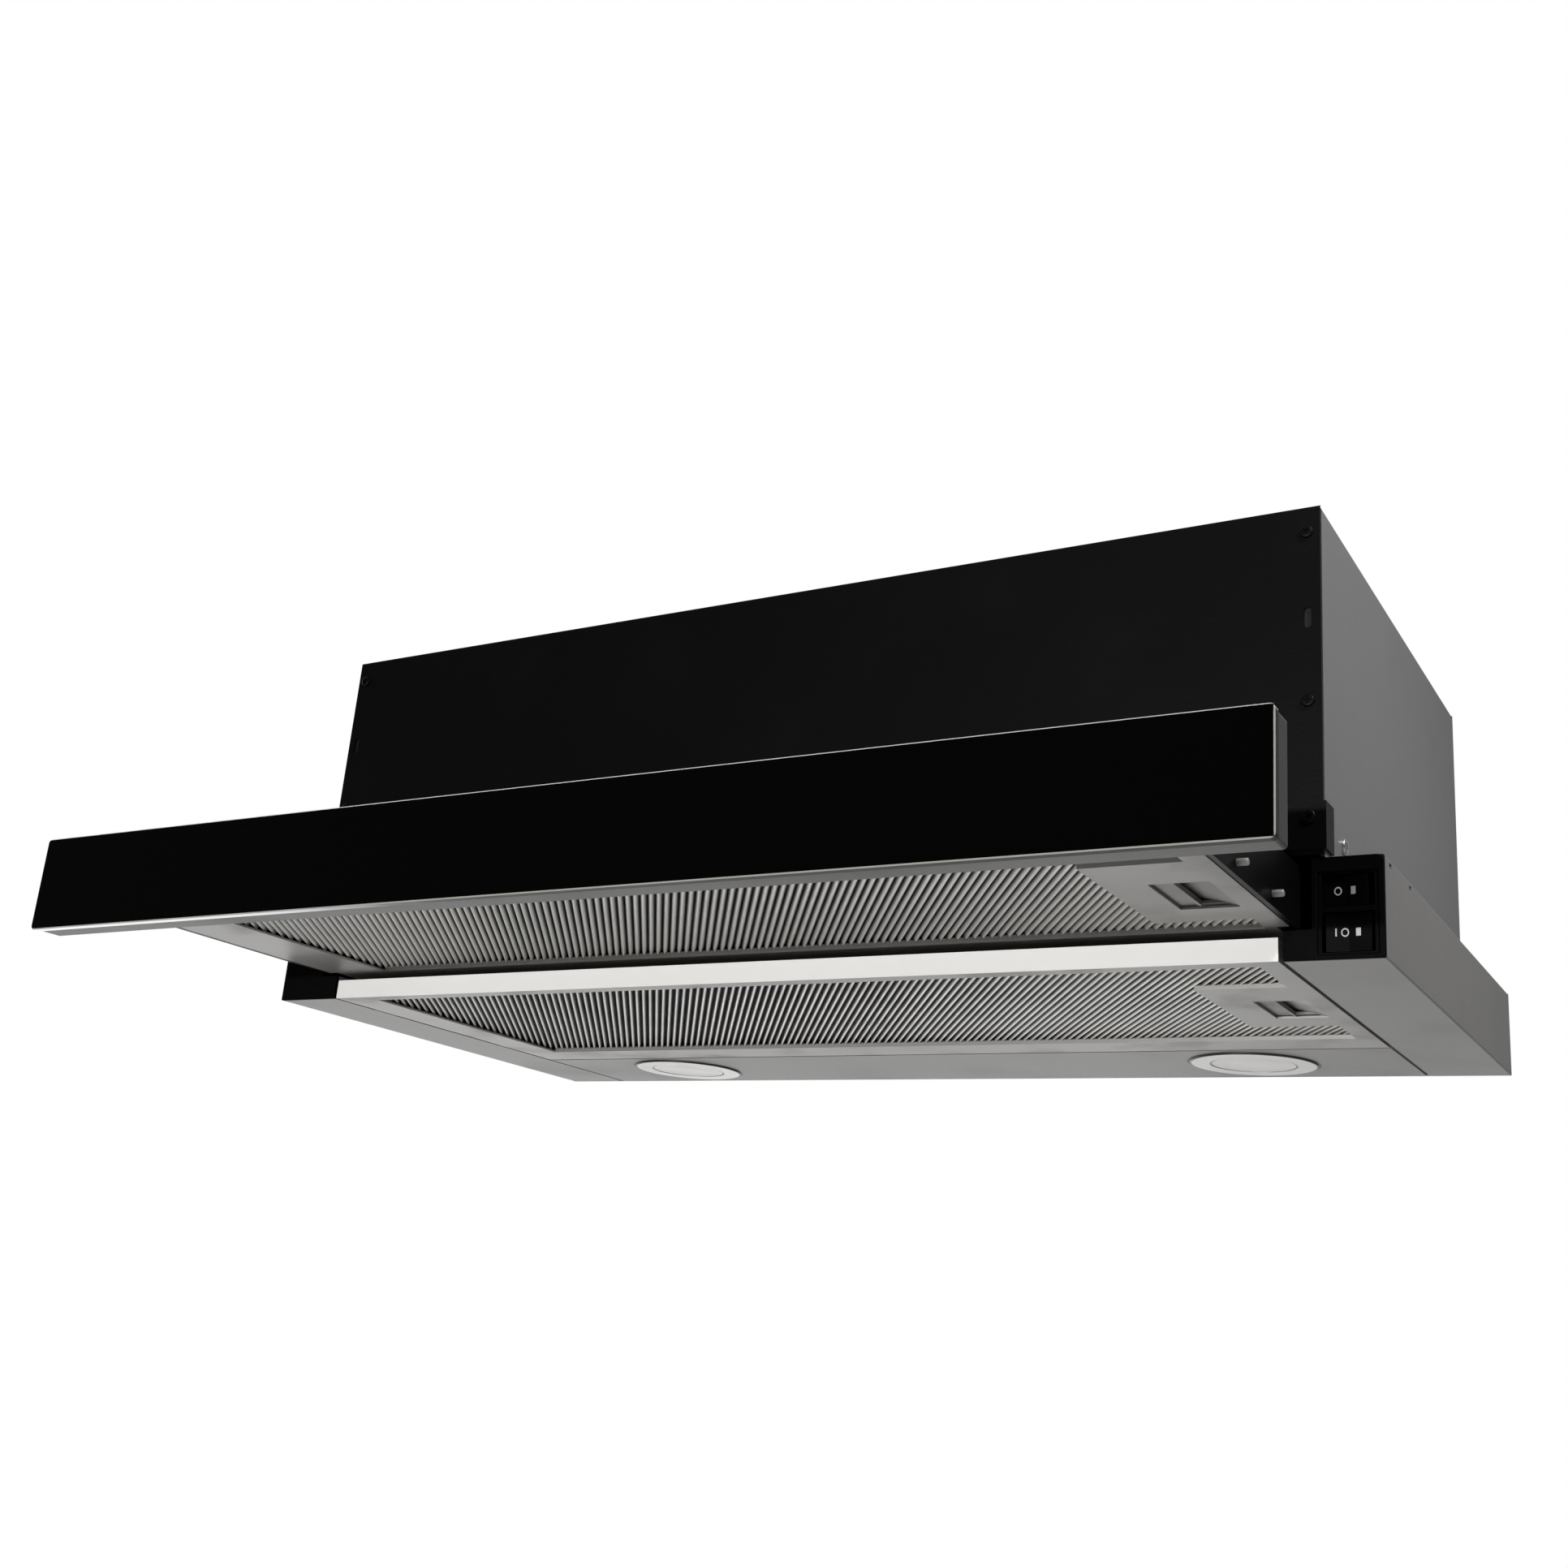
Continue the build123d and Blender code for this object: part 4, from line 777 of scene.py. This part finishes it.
    def spring(self) -> bpy.types.Object:
        """Wind the latch spring by spinning a small ring of wire up along its axis."""
        low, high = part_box(f"{self.name}_spring")
        radius = (high[1] - low[1]) / 2.0 - self.wire_radius
        length = high[0] - low[0] - 2.0 * self.wire_radius
        bpy.ops.object.select_all(action="DESELECT")
        bpy.ops.mesh.primitive_circle_add(vertices=8, radius=self.wire_radius, location=(radius, 0.0, 0.0),
                                          rotation=(math.pi / 2.0, 0.0, 0.0))
        coil = named(f"{self.name}_coil")
        bpy.ops.object.transform_apply(location=True, rotation=True, scale=True)
        finish_with(coil, "SCREW", screw_offset=length / self.coil_turns, iterations=self.coil_turns,
                    steps=self.coil_steps, render_steps=self.coil_steps, use_merge_vertices=True)
        start = (low[0] + self.wire_radius, (low[1] + high[1]) / 2.0, (low[2] + high[2]) / 2.0)
        coil.matrix_world = facing(start, (1.0, 0.0, 0.0))
        bpy.ops.object.mode_set(mode="EDIT")
        bpy.ops.mesh.select_mode(type="EDGE")
        bpy.ops.mesh.select_all(action="DESELECT")
        bpy.ops.mesh.select_non_manifold()
        bpy.ops.mesh.edge_face_add()
        bpy.ops.object.mode_set(mode="OBJECT")
        settle(coil)
        smooth(coil, 60.0)
        return coil


@dataclass
class Fasteners:
    """Cross-recessed pan head screws, modelled once and copied to each group's places."""

    shop: Workshop
    head_radius: float = 2.8 * MM
    head_height: float = 1.4 * MM
    head_sides: int = 28
    crown: float = 0.75 * MM
    crown_steps: int = 4
    frame_count: int = 4
    recess_width: float = 0.62 * MM
    recess_length: float = 3.1 * MM
    recess_depth: float = 0.9 * MM
    shank_radius: float = 1.5 * MM
    shank_length: float = 5.0 * MM
    shank_chamfer: float = 0.3 * MM
    seat_depth: float = 1.6 * MM
    panel_middle: float = -88.0 * MM

    def model(self) -> bpy.types.Object:
        """One screw with its head along local Z and its seat at the origin."""
        bpy.ops.object.select_all(action="DESELECT")
        bpy.ops.mesh.primitive_cylinder_add(vertices=self.head_sides, radius=self.head_radius,
                                            depth=self.head_height,
                                            location=(0.0, 0.0, self.head_height / 2.0))
        screw = named("screw_model")
        bpy.ops.object.transform_apply(location=True)
        bpy.ops.object.mode_set(mode="EDIT")
        top = self.head_height
        pick(screw, "EDGE", lambda edge: all(vert.co.z > top - TOUCH for vert in edge.verts))
        bpy.ops.mesh.bevel(offset=self.crown, segments=self.crown_steps)
        pick(screw, "FACE", lambda face: face.normal.z < -0.9)
        bpy.ops.mesh.inset(thickness=self.head_radius - self.shank_radius)
        bpy.ops.mesh.extrude_region_move(TRANSFORM_OT_translate={"value": (0.0, 0.0, -self.shank_length)})
        bpy.ops.mesh.bevel(offset=self.shank_chamfer, segments=1, affect="EDGES")
        bpy.ops.object.mode_set(mode="OBJECT")
        for turn in (0.0, math.pi / 2.0):
            self.cut_slot(screw, turn)
        settle(screw)
        smooth(screw, 40.0)
        return screw

    def cut_slot(self, screw: bpy.types.Object, turn: float) -> None:
        """Cut one arm of the cross recess."""
        size = (self.recess_length, self.recess_width, 2.0 * self.recess_depth)
        cutter = block("recess_cutter", size, (0.0, 0.0, self.head_height), turn)
        finish_with(screw, "BOOLEAN", operation="DIFFERENCE", object=cutter, solver="EXACT")
        bpy.data.objects.remove(cutter)

    def build(self) -> None:
        """Place every group of screws."""
        model = self.model()
        groups = ((("panel_screws", "housing", "black_steel", BLACK_PAINT), self.panel_places()),
                  (("side_screws", "housing", "zinc_steel", SCREW_STEEL), self.side_places()),
                  (("frame_screws", "carriage", "zinc_steel", SCREW_STEEL), self.frame_places()),
                  (("collar_screws", "housing", "zinc_steel", SCREW_STEEL), self.collar_places()))
        for (node, body, slot, finish), places in groups:
            copies = [copy_to(model, place) for place in places]
            self.shop.place(join(copies, f"{node}_detail"), body, slot, finish, node)
        bpy.data.objects.remove(model)

    def panel_places(self) -> list[Matrix]:
        """Screws along the side edges of the front and back panels."""
        low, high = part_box("panel_screws")
        reach = high[0] - self.head_radius
        heights = (low[2] + self.head_radius, self.panel_middle, high[2] - self.head_radius)
        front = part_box("housing_front_panel")[0][1]
        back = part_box("housing_back_panel")[1][1]
        places = []
        for side in (-1.0, 1.0):
            for index, height in enumerate(heights):
                places.append(facing((side * reach, front, height), (0.0, -1.0, 0.0), 0.4 + index))
                places.append(facing((side * reach, back, height), (0.0, 1.0, 0.0), 0.9 * index))
        return places

    def side_places(self) -> list[Matrix]:
        """Screws through the housing's sides, near its lower corners."""
        low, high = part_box("side_screws")
        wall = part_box("housing_shell")[1][0]
        middle = (low[2] + high[2]) / 2.0
        edge = (high[2] - low[2]) / 2.0
        rows = (low[1] + edge, high[1] - edge)
        scale = Matrix.Scale(edge / self.head_radius, 4)
        return [facing((side * wall, row, middle), (side, 0.0, 0.0), 0.5 + row * 9.0) @ scale
                for side in (-1.0, 1.0) for row in rows]

    def frame_places(self) -> list[Matrix]:
        """Screws that hold the tray's front flange to the frame."""
        low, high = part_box("frame_screws")
        first, last = low[0] + self.head_radius, high[0] - self.head_radius
        seat = high[1] - self.seat_depth
        height = (low[2] + high[2]) / 2.0
        gaps = self.frame_count - 1
        return [facing((first + (last - first) * index / gaps, seat, height), (0.0, 1.0, 0.0), index * 0.7)
                for index in range(self.frame_count)]

    def collar_places(self) -> list[Matrix]:
        """Screws round the duct collar's flange."""
        low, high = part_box("collar_screws")
        reach = high[0] - self.head_radius
        seat = high[2] - self.seat_depth
        return [facing((x * reach, y * reach, seat), (0.0, 0.0, 1.0), 0.6 * (x - y))
                for x in (-1.0, 1.0) for y in (-1.0, 1.0)]


@dataclass
class Housing:
    """The grey shell with its black front panel, back panel and duct collar."""

    shop: Workshop
    edge: float = 0.35 * MM
    black_lap: float = 2.5 * MM

    def build(self) -> None:
        """Dress the housing."""
        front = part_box("housing_front_panel")[0][1]
        paint = grey_paint("housing_paint", SHELL_GREY, black_before=front + self.black_lap)
        self.shop.dress(paint, "housing_shell")
        self.shop.dress(BLACK_PAINT, "housing_front_panel")
        self.shop.dress(ZINC, "housing_back_panel")
        self.shop.dress(CASING_PLASTIC, "duct_collar", "flap_front", "flap_rear", "cable_gland")
        self.shop.dress(SCREW_STEEL, "flap_pin")
        self.shop.soften(self.edge, "cable_gland")


@dataclass
class Base:
    """The grey side members and rear rail, the end caps and the outer rails."""

    shop: Workshop
    edge: float = 0.5 * MM
    black_lap: float = 1.9 * MM

    def build(self) -> None:
        """Dress the base."""
        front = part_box("end_cap_right")[0][1]
        sides = grey_paint("side_member_paint", black_before=front + self.black_lap)
        self.shop.dress(sides, "side_channel_left", "side_channel_right")
        self.shop.dress(grey_paint("base_paint"), "base_rear_rail")
        self.shop.dress(CAP_PLASTIC, "end_cap_left", "end_cap_right")
        self.shop.dress(ZINC, "rail_outer_left", "rail_outer_right")
        self.shop.soften(self.edge, "end_cap_left", "end_cap_right")


@dataclass
class Lamps:
    """Two round lamps let into the strip behind the filters."""

    shop: Workshop
    lens_radius: float = 22.2 * MM
    shadow_rim_width: float = 0.9 * MM
    shadow_ring_gap: float = 0.5 * MM
    lens_colour: Colour = (0.76, 0.74, 0.715)
    bezel_colour: Colour = (0.68, 0.67, 0.65)

    def build(self) -> None:
        """Dress the lamps."""
        centres = []
        for side in ("left", "right"):
            low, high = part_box(f"lamp_lens_{side}")
            centres.append(((low[0] + high[0]) / 2.0, (low[1] + high[1]) / 2.0, low[2]))
        low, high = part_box("lamp_bezel_right")
        bezel_radius = (high[0] - low[0]) / 2.0
        # painted shadow line on the strip round each bezel
        seams = tuple((x, y, bezel_radius + self.shadow_ring_gap) for x, y, _ in centres)
        self.shop.dress(grey_paint("strip_paint", seams=seams), "lamp_strip")
        lens = FrostedLens("lamp_lens", self.lens_colour, tuple(centres), self.lens_radius - self.shadow_rim_width)
        self.shop.dress(lens, "lamp_lens_left", "lamp_lens_right")
        # painted shadow outline at each bezel's edge
        bezel_shadow_rings = tuple((x, y, bezel_radius) for x, y, _ in centres)
        bezel = SheetPaint("silver_bezel", self.bezel_colour, 0.36, metallic=0.2, peel=0.00001, seams=bezel_shadow_rings)
        self.shop.dress(bezel, "lamp_bezel_left", "lamp_bezel_right")
        self.shop.dress(PALE_PLASTIC, "led_board_left", "led_board_right")


@dataclass
class Switches:
    """The switch block with its two rockers and their printed marks."""

    shop: Workshop
    mark_proud: float = 0.10 * MM
    ring_radius: float = 1.5 * MM
    stroke: float = 0.28 * MM
    bar_height: float = 3.2 * MM
    ring_squash: float = 0.85
    bar_width: float = 0.55 * MM
    bar_round: float = 0.12 * MM
    block_width: float = 1.9 * MM
    pivot_depth: float = 9.0 * MM
    face_reach: float = 6.6 * MM
    face_slope: float = 1.0 / 8.9
    edge: float = 0.35 * MM

    def build(self) -> None:
        """Dress the switches and add the marks."""
        self.shop.dress(CAP_PLASTIC, "switch_block")
        self.shop.dress(ROCKER_PLASTIC, "light_rocker", "fan_rocker")
        self.shop.soften(self.edge, "light_rocker", "fan_rocker", "switch_block")
        self.marks("light_rocker", -8.0, ((-3.3, "ring"), (2.9, "block")))
        self.marks("fan_rocker", 0.0, ((-5.0, "bar"), (-1.6, "ring"), (3.6, "block")))

    def marks(self, rocker: str, tilt: float, signs: Iterable[tuple[float, str]]) -> None:
        """Print a rocker's marks on its face.

        Args:
            rocker: The rocker's node and body.
            tilt: The rocker's turn at rest, in degrees.
            signs: Each mark's place along the face in millimetres, and its shape.
        """
        low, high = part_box(rocker)
        left, right = (corner[0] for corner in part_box("switch_block"))
        pivot = Vector(((left + right) / 2.0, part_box("end_cap_right")[0][1] + self.pivot_depth,
                        (low[2] + high[2]) / 2.0))
        turn = Matrix.Rotation(math.radians(tilt), 4, "Z")
        widths = {"block": self.block_width, "bar": self.bar_width}
        made = []
        for place, shape in signs:
            slope = math.copysign(math.atan(self.face_slope), place)
            reach = self.face_reach + abs(place) * MM * self.face_slope
            spot = Matrix.Translation((place * MM, -reach, 0.0)) @ Matrix.Rotation(-slope, 4, "Z")
            mark = self.ring() if shape == "ring" else self.bar(widths[shape])
            mark.matrix_world = Matrix.Translation(pivot) @ turn @ spot @ mark.matrix_world
            made.append(mark)
        piece = join(made, f"{rocker}_marks")
        smooth(piece)
        self.shop.place(piece, rocker, "white_plastic", MARK_PAINT)

    def ring(self) -> bpy.types.Object:
        """A flat ring that faces the front."""
        bpy.ops.object.select_all(action="DESELECT")
        bpy.ops.mesh.primitive_torus_add(major_segments=36, minor_segments=8, major_radius=self.ring_radius,
                                         minor_radius=self.stroke, rotation=(math.pi / 2.0, 0.0, 0.0))
        ring = named("mark_ring")
        bpy.ops.object.transform_apply(rotation=True)
        ring.scale = (self.ring_squash, self.mark_proud / self.stroke, 1.0)
        bpy.ops.object.transform_apply(scale=True)
        return ring

    def bar(self, width: float) -> bpy.types.Object:
        """A flat upright bar that faces the front."""
        bar = block("mark_bar", (width, 2.0 * self.mark_proud, self.bar_height))
        bpy.ops.object.mode_set(mode="EDIT")
        pick(bar, "EDGE", lambda edge: abs(edge.verts[0].co.y - edge.verts[1].co.y) > 1e-7)
        bpy.ops.mesh.bevel(offset=self.bar_round, segments=2)
        bpy.ops.object.mode_set(mode="OBJECT")
        return bar


@dataclass
class Carriage:
    """The slide-out front: glass, frame, tray, side plates, studs and rail members."""

    shop: Workshop
    stud_edge: float = 0.4 * MM

    def build(self) -> None:
        """Dress the carriage."""
        low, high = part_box("front_glass")
        glass = BlackGlass("black_glass", high[0], (low[2], high[2]), low[1])
        self.shop.dress(glass, "front_glass")
        self.shop.dress(SILVER_FRAME, "front_frame")
        self.shop.dress(BLACK_PAINT, "carriage_tray", "carriage_side_left", "carriage_side_right")
        self.shop.dress(ZINC, "rail_inner_left", "rail_inner_right")
        self.shop.dress(PALE_ZINC, "slide_studs")
        self.shop.soften(self.stud_edge, "slide_studs")


@dataclass
class Works:
    """The blower, its motor and the electrical parts inside the housing."""

    shop: Workshop

    def build(self) -> None:
        """Dress the inner parts."""
        self.shop.dress(CASING_PLASTIC, "blower_casing_left", "blower_casing_right", "impeller",
                        "terminal_box", "terminal_lid", "microswitch")
        self.shop.dress(MOTOR_STEEL, "motor")
        self.shop.dress(ZINC, "motor_bracket", "motor_shaft", "microswitch_lever")
        self.shop.dress(PALE_PLASTIC, "terminal_block", "capacitor", "led_driver")


# ---- Stage ----------------------------------------------------------------------------------
@dataclass
class Studio:
    """A pale floor, soft lights and the camera."""

    floor_colour: Colour = (0.58, 0.58, 0.575)
    floor_height: float = -0.95
    floor_radius: float = 3.4
    camera_place: Point = (0.45245, -0.82863, -0.35976)
    camera_forward: Point = (-0.50600, 0.80769, 0.30264)
    camera_up: Point = (0.08899, -0.30011, 0.94974)
    lens: float = 41.168
    dim: float = 0.012
    rear_fade: Span = (-0.25, 0.35)
    sweep: tuple[Span, Span, Span] = ((-0.75, 2.8), (-0.15, 1.5), (0.25, 0.18))

    def build(self) -> None:
        """Set up floor, world, lights and camera."""
        self.floor()
        self.world()
        self.softbox("front_low_key", (0.0, -2.6, -0.368), aim=(0.0, -0.1, -0.19),
                     size=(0.9, 0.04), power=35.0)
        self.softbox("rear_low_key", (-0.35, 1.25, -0.93), aim=(0.0, 0.0, -0.19),
                     size=(0.35, 0.35), power=0.7)
        self.softbox("right_high", (0.95, -0.6, 0.75), aim=(0.27, -0.12, 0.02),
                     size=(0.25, 0.25), power=0.85, spread=40.0)
        self.camera()

    def floor(self) -> None:
        """Lay the floor."""
        bpy.ops.object.select_all(action="DESELECT")
        bpy.ops.mesh.primitive_circle_add(vertices=128, radius=self.floor_radius, fill_type="NGON",
                                          location=(0.0, 0.0, self.floor_height))
        floor = named("studio_floor")
        recipe = Recipe("studio_floor")
        recipe.set(Base_Color=self.floor_colour, Roughness=0.9)
        coat(floor, recipe.material)

    def world(self) -> None:
        """Light the hood from a pale backdrop behind and a dim room in front, seen as plain white."""
        world = bpy.data.worlds.new("studio_world")
        world.use_nodes = True
        tree = world.node_tree
        backdrop = tree.nodes["Background"]
        direction = tree.nodes.new("ShaderNodeTexCoord")
        parts = tree.nodes.new("ShaderNodeSeparateXYZ")
        tree.links.new(direction.outputs["Generated"], parts.inputs[0])
        first, middle, last = self.sweep
        spans = (("Y", self.rear_fade, (self.dim, 1.0)),
                 ("X", (first[0], middle[0]), (first[1], middle[1])),
                 ("X", (middle[0], last[0]), (1.0, last[1] / middle[1])))
        strength = None
        for axis, source, target in spans:
            fade = tree.nodes.new("ShaderNodeMapRange")
            fade.interpolation_type = "SMOOTHSTEP"
            for socket, value in zip(("From Min", "From Max", "To Min", "To Max"), (*source, *target)):
                fade.inputs[socket].default_value = value
            tree.links.new(parts.outputs[axis], fade.inputs["Value"])
            if strength is None:
                strength = fade.outputs[0]
                continue
            product = tree.nodes.new("ShaderNodeMath")
            product.operation = "MULTIPLY"
            tree.links.new(strength, product.inputs[0])
            tree.links.new(fade.outputs[0], product.inputs[1])
            strength = product.outputs[0]
        tree.links.new(strength, backdrop.inputs["Color"])
        plain = tree.nodes.new("ShaderNodeBackground")
        plain.inputs["Color"].default_value = (1.0, 1.0, 1.0, 1.0)
        rays = tree.nodes.new("ShaderNodeLightPath")
        either = tree.nodes.new("ShaderNodeMixShader")
        tree.links.new(rays.outputs["Is Camera Ray"], either.inputs[0])
        tree.links.new(backdrop.outputs[0], either.inputs[1])
        tree.links.new(plain.outputs[0], either.inputs[2])
        tree.links.new(either.outputs[0], tree.nodes["World Output"].inputs["Surface"])
        bpy.context.scene.world = world
        bpy.context.scene.view_settings.view_transform = "Standard"

    def softbox(self, name: str, place: Point, aim: Point, size: Span, power: float,
                spread: float = 180.0) -> None:
        """Add a rectangular area light.

        Args:
            name: The light's name.
            place: Where it stands.
            aim: The point that it faces.
            size: Its width and height in metres.
            power: Its power in watts.
            spread: How wide its beam opens, in degrees.
        """
        light = bpy.data.lights.new(name, "AREA")
        light.spread = math.radians(spread)
        light.shape = "RECTANGLE"
        light.size, light.size_y = size
        light.energy = power
        lamp = bpy.data.objects.new(name, light)
        lamp.location = place
        lamp.rotation_euler = (Vector(aim) - Vector(place)).to_track_quat("-Z", "Y").to_euler()
        bpy.context.collection.objects.link(lamp)

    def camera(self) -> None:
        """Stand the camera in front, to the right and below."""
        data = bpy.data.cameras.new("camera")
        data.lens = self.lens
        data.sensor_width = 36.0
        data.clip_start = 0.01
        eye = bpy.data.objects.new("camera", data)
        forward = Vector(self.camera_forward).normalized()
        right = forward.cross(Vector(self.camera_up)).normalized()
        up = right.cross(forward)
        turn = Matrix((right, up, -forward)).transposed().to_4x4()
        eye.matrix_world = Matrix.Translation(self.camera_place) @ turn
        bpy.context.collection.objects.link(eye)
        bpy.context.scene.camera = eye


def main() -> None:
    """Build the hood's looks, sub-assembly by sub-assembly."""
    logging.basicConfig(level=logging.INFO, format="%(message)s")
    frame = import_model()
    shop = Workshop(frame)
    front_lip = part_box("fixed_filter_frame")[0][1] + LIP_DEPTH
    assemblies = [Housing(shop), Base(shop), Carriage(shop), Lamps(shop), Switches(shop), Works(shop),
                  GreaseFilter(shop, "fixed_filter", lip_from=front_lip, groove=1.4 * MM),
                  GreaseFilter(shop, "slide_filter", lip_from=NO_LIP, groove=2.6 * MM),
                  Fasteners(shop), Studio()]
    for assembly in assemblies:
        assembly.build()
        LOG.info("built %s", type(assembly).__name__)


if __name__ == "__main__":
    main()
